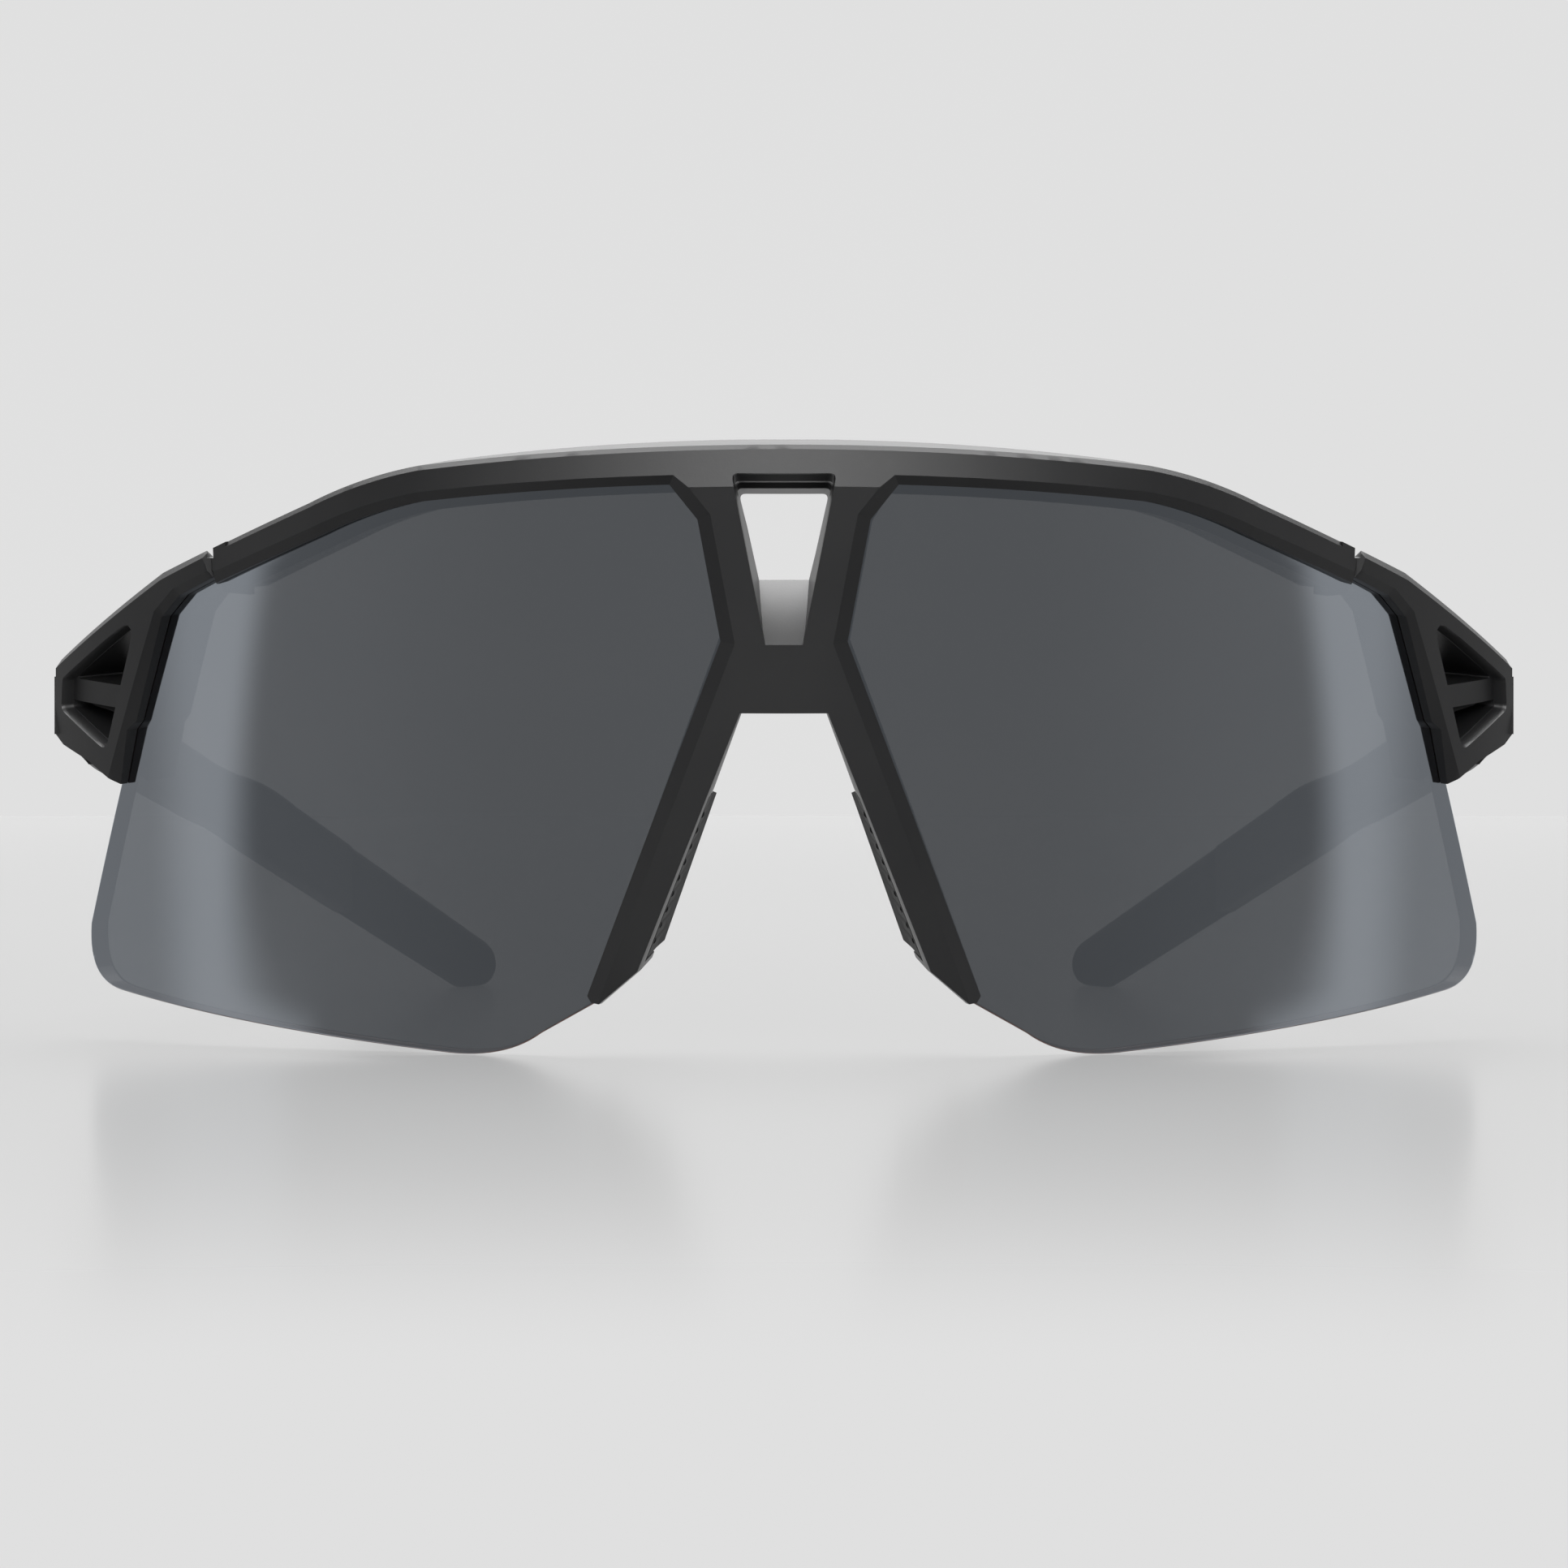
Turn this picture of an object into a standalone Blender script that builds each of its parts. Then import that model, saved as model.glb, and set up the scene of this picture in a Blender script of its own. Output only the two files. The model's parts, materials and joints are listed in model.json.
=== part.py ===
"""Wraparound sport sunglasses: a half-rim front, two cylindrical lenses, end pieces that swing open
to let the lenses out, and temples that fold. The glasses stand on their lenses and temple tips.

Two flat layouts are drawn and then bent into place:
  the front layout (u, v, w): u is the arc length round the lens cylinder from the centre, v the height
  along its axis, w the distance in front of the lens face;
  the temple layout (s, t, z): s is the length along the temple, t the distance outside its outer face.
Sizes are in millimetres, and MM turns them into Blender's metres.
"""

import functools
import math

import bmesh
import bpy
from mathutils import Matrix, Vector

MM = 0.001

# Lens
LENS_RADIUS = 90.0
LENS_TILT = math.radians(9.0)
LENS_THICKNESS = 2.0
LENS_BITE = 1.4
CLEARANCE = 0.3

# Front, measured in the front layout
BROW_HALF_LENGTH = 57.2
BROW_TOP = 57.4
KINK_RUN = 11.8
KINK_DROP = 2.45
BROW_END_DROP = 11.1
SHOULDER_RUN = 11.2
BROW_SLOPE = 0.42
BAR_HEIGHT = 3.5
BAR_TAPER = 0.35
REAR_LIP_EXTRA = 1.0
ARM_LIP_EXTRA = 0.35
FRONT_PROUD = 1.6
FRONT_BACK = 6.0
LIP_CHAMFER = 1.2
EDGE_CHAMFER = 0.35

# Centre struts, bridge and nose arms
WAIST_U = 5.73
WAIST_V = 39.5
CORNER_U = 7.78
CORNER_DROP = 6.8
CORNER_TOP_U = 10.3
WINDOW_TOP_HALF = 4.64
WINDOW_FOOT_HALF = 1.55
WINDOW_TOP_DROP = 2.5
WINDOW_FOOT_RAISE = 6.4
WINDOW_RAMP = 5.1
WINDOW_DRAFT = 0.7
WINDOW_LINTEL = 2.5
BRIDGE_FOOT_V = 32.9
ARCH_HALF = 4.3
ARM_TIP_U = 18.06
ARM_TIP_V = 6.56
ARM_WIDTH = 3.75
ARM_FOOT_RUN = 5.2

# End piece, measured from the joint with the brow
JOINT_GAP = 0.4
JOINT_SLANT = 0.2
NOTCH_WIDTH = 1.2
NOTCH_DEPTH = 0.8
ENDPIECE_LENGTH = 24.9
FACET_DROP = 14.3
OUTER_FACET = 6.2
SWING_CLEARANCE = 0.6
PIVOT_RUN = 1.9
PIVOT_DROP = 2.15
PIN_RADIUS = 0.6
PIN_HOLE_RADIUS = 0.8
TONGUE_RADIUS = 1.5
TONGUE_FRONT = 3.4
TONGUE_BACK = 4.8
VENT_RIB = 1.9
RIB_RECESS = 1.2

# Temple hinge, measured in the temple layout; its stack hangs below the top of the end piece
HINGE_SETBACK = 6.8
HINGE_INSET = 5.0
KNUCKLE_RADIUS = 2.6
LUG_TOP_DROP = 1.7
LUG_HEIGHT = 2.1
KNUCKLE_HEIGHT = 2.2
SCREW_RADIUS = 0.7
SCREW_HEAD_RADIUS = 1.3
SCREW_HEAD_HEIGHT = 0.8
DRIVER_SLOT = 0.4
BUSH_WALL = 0.6
RUNNING_GAP = 0.2

# Temple
TEMPLE_SPLAY = math.radians(8.7)
TEMPLE_BEND = math.radians(14.1)
TEMPLE_STRAIGHT = 48.0
TEMPLE_BEND_LENGTH = 14.0
TEMPLE_LENGTH = 115.5
TEMPLE_ROOT_HEIGHT = 7.8
ROOT_RELIEF = 1.6
ROOT_RELIEF_RUN = 10.0
TEMPLE_ROOT_DROP = 0.3
TEMPLE_TOP_DROP = 10.75
TEMPLE_FOOT_DROP = 8.1
TEMPLE_ROOT_THICKNESS = 4.5
TEMPLE_THICKNESS = 3.0
TIP_LENGTH = 37.5
TIP_THICKNESS = 4.0
TIP_END_HEIGHT = 5.4
TIP_REST_LENGTH = 6.0
TIP_OVERRUN = 2.4
CORE_HEIGHT = 3.0
CORE_THICKNESS = 1.0
CORE_BITE = 16.0
CORE_REACH = 26.0

# Nose pad
PAD_LENGTH = 15.0
PAD_FOOT_RUN = 0.6
PAD_THICKNESS = 1.2
PAD_SINK = 1.3
PAD_SETBACK = 0.8
PAD_DEPTH = 9.5
PAD_COVER = 3.4
PEG_RADIUS = 0.75
PEG_LENGTH = 1.5
PEG_SETBACK = 4.2

# How finely the bent solids are cut
WRAP_STEP = 3.0
TEMPLE_STEP = 2.5
ROUND_SIDES = 16
CURVE_STEPS = 6

COLLECTION = "wraparound_sport_sunglasses"


# ---- Scene, materials ----------------------------------------------------------------------------


def clear_scene():
    for obj in list(bpy.data.objects):
        bpy.data.objects.remove(obj, do_unlink=True)


def make_collection(name):
    collection = bpy.data.collections.new(name)
    bpy.context.scene.collection.children.link(collection)
    return collection


def make_material(name, colour, roughness, metallic=0.0, alpha=1.0):
    material = bpy.data.materials.new(name)
    material.use_nodes = True
    shader = material.node_tree.nodes["Principled BSDF"]
    shader.inputs["Base Color"].default_value = (*colour, 1.0)
    shader.inputs["Roughness"].default_value = roughness
    shader.inputs["Metallic"].default_value = metallic
    shader.inputs["Alpha"].default_value = alpha
    return material


# ---- Outlines ------------------------------------------------------------------------------------


def quad(start, lean, end, steps=CURVE_STEPS):
    """Points of a quadratic curve from start to end that leans towards lean, both ends included."""
    points = []
    for i in range(steps + 1):
        f = i / steps
        a, b, c = (1 - f) ** 2, 2 * f * (1 - f), f * f
        points.append((a * start[0] + b * lean[0] + c * end[0], a * start[1] + b * lean[1] + c * end[1]))
    return points


def area(points):
    total = 0.0
    for (x0, y0), (x1, y1) in zip(points, points[1:] + points[:1]):
        total += x0 * y1 - x1 * y0
    return total / 2


def inset(points, distance):
    """The closed outline moved inwards by distance (outwards where it is negative), with mitred corners."""
    if distance == 0:
        return list(points)
    turn = 1 if area(points) > 0 else -1
    moved = []
    for i, here in enumerate(points):
        before = Vector(here) - Vector(points[i - 1])
        after = Vector(points[(i + 1) % len(points)]) - Vector(here)
        n0 = Vector((-before.y, before.x)).normalized() * turn
        n1 = Vector((-after.y, after.x)).normalized() * turn
        middle = (n0 + n1).normalized()
        reach = distance / max(middle.dot(n0), 0.5)
        moved.append((here[0] + middle.x * reach, here[1] + middle.y * reach))
    return moved


def along(points, depths):
    """The open line with each point moved to its right by its own depth: downwards, where it runs to +u."""
    moved = []
    for i, (here, depth) in enumerate(zip(points, depths)):
        first = points[max(i - 1, 0)]
        last = points[min(i + 1, len(points) - 1)]
        run = (Vector(last) - Vector(first)).normalized()
        moved.append((here[0] + run.y * depth, here[1] - run.x * depth))
    return moved


def both_halves(points):
    """A closed outline from its right half, which runs from the top centre round to the foot centre."""
    left = [(-u, v) for u, v in reversed(points) if u > 0]
    return points + left


# ---- Solids --------------------------------------------------------------------------------------


def new_object(name, mesh, collection, material=None):
    obj = bpy.data.objects.new(name, mesh)
    collection.objects.link(obj)
    if material:
        mesh.materials.append(material)
    return obj


def loft(name, layers, place, collection):
    """A closed solid through outlines of equal length. layers is [(level, outline), ...], and
    place(a, b, level) gives each point's position in millimetres."""
    bm = bmesh.new()
    rings = []
    for level, outline in layers:
        rings.append([bm.verts.new(Vector(place(a, b, level)) * MM) for a, b in outline])
    for low, high in zip(rings, rings[1:]):
        for i in range(len(low)):
            j = (i + 1) % len(low)
            bm.faces.new((low[i], low[j], high[j], high[i]))
    bm.faces.new(list(reversed(rings[0])))
    bm.faces.new(rings[-1])
    bmesh.ops.remove_doubles(bm, verts=bm.verts, dist=0.001 * MM)
    bmesh.ops.recalc_face_normals(bm, faces=bm.faces)
    mesh = bpy.data.meshes.new(name)
    bm.to_mesh(mesh)
    bm.free()
    return new_object(name, mesh, collection)


def in_front(u, v, w):
    """The front layout lies in the XZ plane, facing -Y."""
    return (u, -w, v)


def in_temple(s, z, t):
    """The temple layout keeps s on X, t on Y and z on Z."""
    return (s, t, z)


def in_plan(s, t, z):
    """A plan outline in the temple layout, drawn as (s, t) and raised to z."""
    return (s, t, z)


def drum(name, radius, low, high, centre, collection, sides=ROUND_SIDES, axis="Z"):
    """A cylinder between two levels on an axis through centre, given as the other two coordinates."""
    bm = bmesh.new()
    half = (high - low) / 2
    bmesh.ops.create_cone(
        bm, cap_ends=True, segments=sides, radius1=radius * MM, radius2=radius * MM, depth=2 * half * MM
    )
    middle = (low + high) / 2
    if axis == "Z":
        place = Matrix.Translation(Vector((centre[0], centre[1], middle)) * MM)
    else:
        turn = Matrix.Rotation(math.radians(90), 4, "X")
        place = Matrix.Translation(Vector((centre[0], middle, centre[1])) * MM) @ turn
    bmesh.ops.transform(bm, matrix=place, verts=bm.verts)
    mesh = bpy.data.meshes.new(name)
    bm.to_mesh(mesh)
    bm.free()
    return new_object(name, mesh, collection)


def bake(obj):
    """Puts the evaluated mesh in place of the object's own, and drops the modifiers."""
    graph = bpy.context.evaluated_depsgraph_get()
    mesh = bpy.data.meshes.new_from_object(obj.evaluated_get(graph))
    obj.modifiers.clear()
    old = obj.data
    obj.data = mesh
    bpy.data.meshes.remove(old)


def combine(obj, others, operation):
    """Cuts the others from obj, or joins them to it, and removes them."""
    for other in others:
        boolean = obj.modifiers.new(operation.lower(), "BOOLEAN")
        boolean.operation = operation
        boolean.object = other
        boolean.solver = "EXACT"
        bake(obj)
        bpy.data.objects.remove(other, do_unlink=True)


def cut(obj, *others):
    combine(obj, others, "DIFFERENCE")


def join(obj, *others):
    combine(obj, others, "UNION")


def reshape(obj, place, steps):
    """Cuts the object's faces at each X in steps, then moves each point to place(x, y, z), all in mm."""
    bm = bmesh.new()
    bm.from_mesh(obj.data)
    bmesh.ops.remove_doubles(bm, verts=bm.verts, dist=0.002 * MM)
    bmesh.ops.dissolve_limit(bm, angle_limit=math.radians(0.1), verts=bm.verts, edges=bm.edges)
    for x in steps:
        bmesh.ops.bisect_plane(
            bm,
            geom=bm.verts[:] + bm.edges[:] + bm.faces[:],
            dist=0.002 * MM,
            plane_co=(x * MM, 0, 0),
            plane_no=(1, 0, 0),
        )
    bmesh.ops.triangulate(bm, faces=bm.faces)
    for vertex in bm.verts:
        vertex.co = Vector(place(*(vertex.co / MM))) * MM
    bmesh.ops.remove_doubles(bm, verts=bm.verts, dist=0.002 * MM)
    bmesh.ops.recalc_face_normals(bm, faces=bm.faces)
    bm.to_mesh(obj.data)
    bm.free()


def mirrored(obj, name):
    """The other side's copy of a right-hand piece."""
    mesh = obj.data.copy()
    mesh.name = name
    bm = bmesh.new()
    bm.from_mesh(mesh)
    for vertex in bm.verts:
        vertex.co.x = -vertex.co.x
    bmesh.ops.reverse_faces(bm, faces=bm.faces)
    bm.to_mesh(mesh)
    bm.free()
    return new_object(name, mesh, obj.users_collection[0])


# ---- From the layouts to the glasses ---------------------------------------------------------------


def tilted(x, y, z):
    """Bends the front layout round the lens cylinder and tilts it about the foot of the centre line."""
    reach = LENS_RADIUS - y
    angle = x / LENS_RADIUS
    depth = LENS_RADIUS - reach * math.cos(angle)
    return (
        reach * math.sin(angle),
        depth * math.cos(LENS_TILT) - z * math.sin(LENS_TILT),
        depth * math.sin(LENS_TILT) + z * math.cos(LENS_TILT),
    )


@functools.cache
def lens_foot():
    """How far above the floor the tilted lens would hang, at its lowest point."""
    return min(tilted(u, y, v)[2] for u, v in lens_outline() for y in (0, LENS_THICKNESS))


def wrap_point(x, y, z):
    """From the front layout to the glasses, with the lenses standing on the floor."""
    px, py, pz = tilted(x, y, z)
    return (px, py, pz - lens_foot())


@functools.cache
def temple_root():
    """The outer face of the hinge plane, and the height of the temple's top edge there."""
    j = BROW_HALF_LENGTH + ENDPIECE_LENGTH
    x, y, z = wrap_point(j, -FRONT_PROUD, BROW_TOP - BROW_END_DROP - FACET_DROP)
    return x, y + HINGE_SETBACK, z - TEMPLE_ROOT_DROP


def wrap(obj):
    reach = BROW_HALF_LENGTH + ENDPIECE_LENGTH + WRAP_STEP
    count = int(2 * reach / WRAP_STEP)
    reshape(obj, wrap_point, [(i - count / 2) * WRAP_STEP + 0.01 for i in range(count + 1)])


def temple_point(x, y, z):
    """Bends the temple layout: straight, an arc inwards, then straight again."""
    start = TEMPLE_STRAIGHT - TEMPLE_BEND_LENGTH / 2
    radius = TEMPLE_BEND_LENGTH / TEMPLE_BEND
    on_arc = min(max(x - start, 0), TEMPLE_BEND_LENGTH)
    angle = TEMPLE_SPLAY + on_arc / radius
    straight = min(x, start)
    after = max(x - start - TEMPLE_BEND_LENGTH, 0)
    root_x, root_y, _ = temple_root()
    px = root_x - straight * math.sin(TEMPLE_SPLAY) - radius * (math.cos(TEMPLE_SPLAY) - math.cos(angle))
    py = root_y + straight * math.cos(TEMPLE_SPLAY) + radius * (math.sin(angle) - math.sin(TEMPLE_SPLAY))
    px += y * math.cos(angle) - after * math.sin(angle)
    py += y * math.sin(angle) + after * math.cos(angle)
    return (px, py, z)


def lay_temple(obj):
    start = TEMPLE_STRAIGHT - TEMPLE_BEND_LENGTH / 2
    count = int(TEMPLE_BEND_LENGTH / TEMPLE_STEP) + 1
    steps = [start + TEMPLE_BEND_LENGTH * i / count for i in range(count + 1)]
    reshape(obj, temple_point, steps)


# ---- Front outlines --------------------------------------------------------------------------------


def brow_line(depth, run=0.0):
    """The brow's top edge from the centre to the joint and run beyond it, moved down by depth."""
    end = (BROW_HALF_LENGTH, BROW_TOP - BROW_END_DROP)
    shoulder = (end[0] - SHOULDER_RUN, end[1] + SHOULDER_RUN * BROW_SLOPE)
    kink = (shoulder[0] - KINK_RUN, BROW_TOP - KINK_DROP)
    lean_u = (kink[0] + shoulder[0]) / 2
    lean = (lean_u, kink[1] - 0.2 * (lean_u - kink[0]))
    line = quad((0, BROW_TOP), (kink[0] / 2, BROW_TOP), kink)
    line += quad(kink, lean, shoulder)[1:]
    line.append((end[0] + run, end[1] - run * BROW_SLOPE))
    if depth == 0:
        return line
    return along(line, [depth - BAR_TAPER * u / end[0] for u, _ in line])


def joint_foot(depth, gap=0.0):
    """Where the joint's slanted face meets the bar's lower edge, gap beyond the brow's own face."""
    deep = depth - BAR_TAPER
    end_v = BROW_TOP - BROW_END_DROP
    return (BROW_HALF_LENGTH + gap - JOINT_SLANT * deep, end_v - deep - gap * BROW_SLOPE)


def arm_direction():
    return Vector((ARM_TIP_U - WAIST_U, ARM_TIP_V - WAIST_V)).normalized()


def beyond(line, u):
    """The part of the line past u, starting on it."""
    kept = [p for p in line if p[0] > u + 0.5]
    index = line.index(kept[0])
    a, b = line[index - 1], line[index]
    f = (u - a[0]) / (b[0] - a[0])
    return [(u, a[1] + f * (b[1] - a[1]))] + kept


def corner():
    return (CORNER_U, BROW_TOP - CORNER_DROP)


def arm_inner_line():
    """The nose side of the arm: from under the arch to the start of the tip's slanted foot."""
    run = arm_direction()
    across = Vector((run.y, -run.x))
    foot = Vector((ARM_TIP_U, ARM_TIP_V)) - run * ARM_FOOT_RUN + across * ARM_WIDTH
    return (ARCH_HALF, BRIDGE_FOOT_V), (foot.x, foot.y)


def front_outline():
    """The whole front as seen from the back: the rear lip hangs below the lens edge."""
    brow = brow_line(0)
    lip = beyond(brow_line(BAR_HEIGHT + REAR_LIP_EXTRA), CORNER_TOP_U - 0.6)
    top, foot = arm_inner_line()
    right = brow[1:]
    right += list(reversed(lip[:-1] + [joint_foot(BAR_HEIGHT + REAR_LIP_EXTRA)]))
    right.append((corner()[0] + ARM_LIP_EXTRA, corner()[1] - 0.3))
    right.append((WAIST_U + ARM_LIP_EXTRA, WAIST_V))
    right.append((ARM_TIP_U + ARM_LIP_EXTRA, ARM_TIP_V))
    right.append((ARM_TIP_U - 0.3, ARM_TIP_V - 0.9))
    right.append((ARM_TIP_U - 1.2, ARM_TIP_V - 1.0))
    right += [foot, top]
    return both_halves([brow[0]] + right)


def lens_outline():
    """The right lens, bite included."""
    top = beyond(brow_line(BAR_HEIGHT - LENS_BITE, run=4.8), CORNER_TOP_U + 0.5)
    run = arm_direction()
    bite = Vector((run.y, -run.x)) * LENS_BITE
    waist = Vector((WAIST_U, WAIST_V)) + bite
    tip = Vector((ARM_TIP_U, ARM_TIP_V)) + bite - run * 0.6
    nose = Vector(corner()) + Vector((-LENS_BITE * 0.98, 0.35))
    outer_top = (BROW_HALF_LENGTH + 8.1, BROW_TOP - BROW_END_DROP - 6.6)
    outer_foot = (BROW_HALF_LENGTH + 21.6, 7.2)
    points = list(top)
    points += [outer_top]
    points += quad(outer_foot, (BROW_HALF_LENGTH + 22.6, 1.3), (BROW_HALF_LENGTH + 16.3, 1.1))
    points += quad((33.0, -0.15), (26.5, -0.5), (22.9, 2.3))
    points += [(tip.x + 0.75, tip.y - 1.0), (tip.x, tip.y)]
    points += [(waist.x, waist.y), (nose.x, nose.y)]
    return points


def front_opening(depth, overhang):
    """The space in front of, or behind, the right lens that the front and its arm leave open."""
    top = beyond(brow_line(BAR_HEIGHT + depth, run=3.0), CORNER_TOP_U)
    run = arm_direction()
    tip = Vector((ARM_TIP_U, ARM_TIP_V)) + run * overhang
    far = BROW_HALF_LENGTH + 6
    points = list(top)
    points += [(far, top[-1][1]), (far, tip.y), (tip.x, tip.y)]
    points += [(WAIST_U, WAIST_V), corner()]
    return points


def endpiece_outer():
    """The end piece's outer edge from the joint round to its foot."""
    j = BROW_HALF_LENGTH
    top = BROW_TOP - BROW_END_DROP
    return [
        (j + JOINT_GAP, top - 0.15),
        (j + 6.1, top - 2.2),
        (j + 23.9, top - 13.2),
        (j + ENDPIECE_LENGTH, top - FACET_DROP),
        (j + ENDPIECE_LENGTH + 0.2, top - FACET_DROP - OUTER_FACET),
        (j + 23.4, top - 21.5),
        (j + 18.7, top - 22.6),
        (j + 14.3, top - 24.2),
    ]


def endpiece_inner(depth):
    """The lens side of the end piece's front lip, from its foot up to the joint; depth widens the lip."""
    j = BROW_HALF_LENGTH
    top = BROW_TOP - BROW_END_DROP
    line = [joint_foot(BAR_HEIGHT), (j + 4.2, top - 5.3), (j + 6.6, top - 7.4), (j + 14.2, top - 24.1)]
    line = along(line, [depth] * len(line))
    line[0] = joint_foot(BAR_HEIGHT + depth, JOINT_GAP)
    return list(reversed(line))


# ---- Front pieces ----------------------------------------------------------------------------------


def plate(name, outline, back, front, tools, chamfer=0.0):
    """A flat solid in the front layout, with a chamfer on both of its faces."""
    layers = [(back, outline), (front, outline)]
    if chamfer:
        layers = [(back, inset(outline, chamfer)), (back + chamfer, outline)]
        layers += [(front - chamfer, outline), (front, inset(outline, chamfer))]
    return loft(name, layers, in_front, tools)


def groove(tools, clearance):
    """What the lens and its clearance take out of the pieces that hold it."""
    back = -LENS_THICKNESS - CLEARANCE
    return plate("groove", inset(lens_outline(), -clearance), back, CLEARANCE, tools)


def lip_cutter(opening, tools):
    """Opens the front lip, with the sloping face that runs down to the lens."""
    flare = LIP_CHAMFER / (FRONT_PROUD - 0.5)
    layers = [
        (-1.0, opening),
        (0.5, opening),
        (FRONT_PROUD + 1.0, inset(opening, -flare * (FRONT_PROUD + 0.5))),
    ]
    return loft("lip", layers, in_front, tools)


def window_cutter(tools):
    """The window between the struts: its walls draw in towards the back, its floor is a ramp and its
    lintel hangs lower at the back."""
    top = BROW_TOP - WINDOW_TOP_DROP
    foot = BRIDGE_FOOT_V + WINDOW_FOOT_RAISE
    back_top = top - WINDOW_LINTEL
    depth = FRONT_PROUD + FRONT_BACK
    past = 1.0 / depth
    front = [
        (WINDOW_TOP_HALF + WINDOW_DRAFT * past, top + WINDOW_LINTEL * past),
        (WINDOW_FOOT_HALF, foot - WINDOW_RAMP * past),
    ]
    back = [
        (WINDOW_TOP_HALF - WINDOW_DRAFT * (1 + past), back_top - WINDOW_LINTEL * past),
        (WINDOW_FOOT_HALF + WINDOW_DRAFT, foot + WINDOW_RAMP * (1 + past)),
    ]
    layers = [(-FRONT_BACK - 1, both_halves(back)), (FRONT_PROUD + 1, both_halves(front))]
    return loft("window", layers, in_front, tools)


def pivot():
    return (BROW_HALF_LENGTH + PIVOT_RUN, BROW_TOP - BROW_END_DROP - PIVOT_DROP)


def both_sides(make):
    """The right-hand cutter or lug and its mirror image, still in the flat layout."""
    right = make()
    return [right, mirrored(right, right.name + "_other")]


def make_tongue(tools):
    """The brow's lug that the end piece swings on."""
    u, v = pivot()
    arc = [(u + TONGUE_RADIUS * math.sin(a), v + TONGUE_RADIUS * math.cos(a))
           for a in [math.pi * i / 8 for i in range(9)]]
    inner = BROW_HALF_LENGTH - 2.5
    outline = [(inner, v + TONGUE_RADIUS)] + arc + [(inner, v - TONGUE_RADIUS)]
    return plate("tongue", outline, -TONGUE_BACK, -TONGUE_FRONT, tools)


def make_notch(tools):
    """Takes the brow's top corner off beside the joint, so that the end piece can swing past it."""
    end = BROW_HALF_LENGTH
    top = BROW_TOP - BROW_END_DROP + NOTCH_WIDTH
    foot = BROW_TOP - BROW_END_DROP - NOTCH_DEPTH
    outline = [(end - NOTCH_WIDTH, foot), (end + 1, foot), (end + 1, top), (end - NOTCH_WIDTH, top)]
    return plate("notch", outline, -FRONT_BACK - 1, FRONT_PROUD + 1, tools)


def pad_line():
    """The ends of the nose pad on the arm's nose side, the direction down it and the one into the arm."""
    top, foot = (Vector(p) for p in arm_inner_line())
    run = (foot - top).normalized()
    end = foot - run * PAD_FOOT_RUN
    return end - run * PAD_LENGTH, end, run, Vector((-run.y, run.x))


def pad_strip(proud, sunk, short):
    """A band along the nose pad, from proud of the arm's nose side to sunk into it, shorter at both ends."""
    start, end, run, into = pad_line()
    a, b = start + run * short, end - run * short
    return [tuple(p) for p in (a - into * proud, b - into * proud, b + into * sunk, a + into * sunk)]


def pad_pocket(tools):
    """The pocket in the arm's nose side that the pad lies in, open to the back."""
    front = CLEARANCE - PAD_SETBACK
    return plate("pocket", pad_strip(3.0, PAD_SINK, -CLEARANCE), -FRONT_BACK - 1, front, tools)


def peg_places():
    """Centres of the nose pad's pegs on the floor of its pocket, and the direction into the arm."""
    start, end, _, into = pad_line()
    return [end + (start - end) * share + into * PAD_SINK for share in (0.25, 0.75)], into


def make_peg(radius, start, end, place, into, tools):
    """A round peg across the front layout, from start to end along into."""
    peg = drum("peg", radius, start, end, (0, 0), tools, sides=10)
    turn = Vector((0, 0, 1)).rotation_difference(Vector((into.x, 0, into.y))).to_matrix().to_4x4()
    move = Matrix.Translation(Vector((place.x, PEG_SETBACK, place.y)) * MM)
    peg.data.transform(move @ turn)
    return peg


def make_front(parts, tools, material):
    front = plate("front_frame", front_outline(), -FRONT_BACK, FRONT_PROUD, parts, EDGE_CHAMFER)
    front.data.materials.append(material)
    join(front, *both_sides(lambda: make_tongue(tools)))
    cut(front, window_cutter(tools))
    cut(front, *both_sides(lambda: lip_cutter(front_opening(0, 5.0), tools)))
    cut(front, *both_sides(lambda: groove(tools, CLEARANCE)))
    cut(front, *both_sides(lambda: make_notch(tools)))
    u, v = pivot()
    cut(front, *both_sides(
        lambda: drum("pin_hole", PIN_HOLE_RADIUS, TONGUE_FRONT - 1, TONGUE_BACK + 1, (u, v), tools, 12, "Y")
    ))
    cut(front, *both_sides(lambda: pad_pocket(tools)))
    places, into = peg_places()
    for place in places:
        cut(front, *both_sides(
            lambda at=place: make_peg(PEG_RADIUS + CLEARANCE, -1, PEG_LENGTH + CLEARANCE, at, into, tools)
        ))
    wrap(front)
    return front


def make_lens(parts, material):
    lens = plate("lens_right", lens_outline(), -LENS_THICKNESS, 0, parts)
    lens.data.materials.append(material)
    wrap(lens)
    return lens


def make_nose_pad(parts, tools, material):
    """A strip in the pocket of the arm's nose side, wider behind the arm, held by two pegs."""
    proud = CLEARANCE + PAD_THICKNESS - PAD_SINK
    floor = PAD_SINK - CLEARANCE
    behind = -FRONT_BACK - CLEARANCE
    layers = [
        (-PAD_DEPTH, pad_strip(proud - 0.2, PAD_COVER - 0.7, 1.2)),
        (-PAD_DEPTH + 1.0, pad_strip(proud + 0.3, PAD_COVER, 0.4)),
        (behind, pad_strip(proud, PAD_COVER, 0)),
        (behind, pad_strip(proud, floor, 0)),
        (-PAD_SETBACK - 0.5, pad_strip(proud, floor, 0)),
        (-PAD_SETBACK, pad_strip(proud - 0.3, floor, 0.3)),
    ]
    pad = loft("nose_pad_right", layers, in_front, parts)
    pad.data.materials.append(material)
    places, into = peg_places()
    for place in places:
        join(pad, make_peg(PEG_RADIUS, -CLEARANCE - 0.6, PEG_LENGTH, place, into, tools))
    wrap(pad)
    return pad


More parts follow.
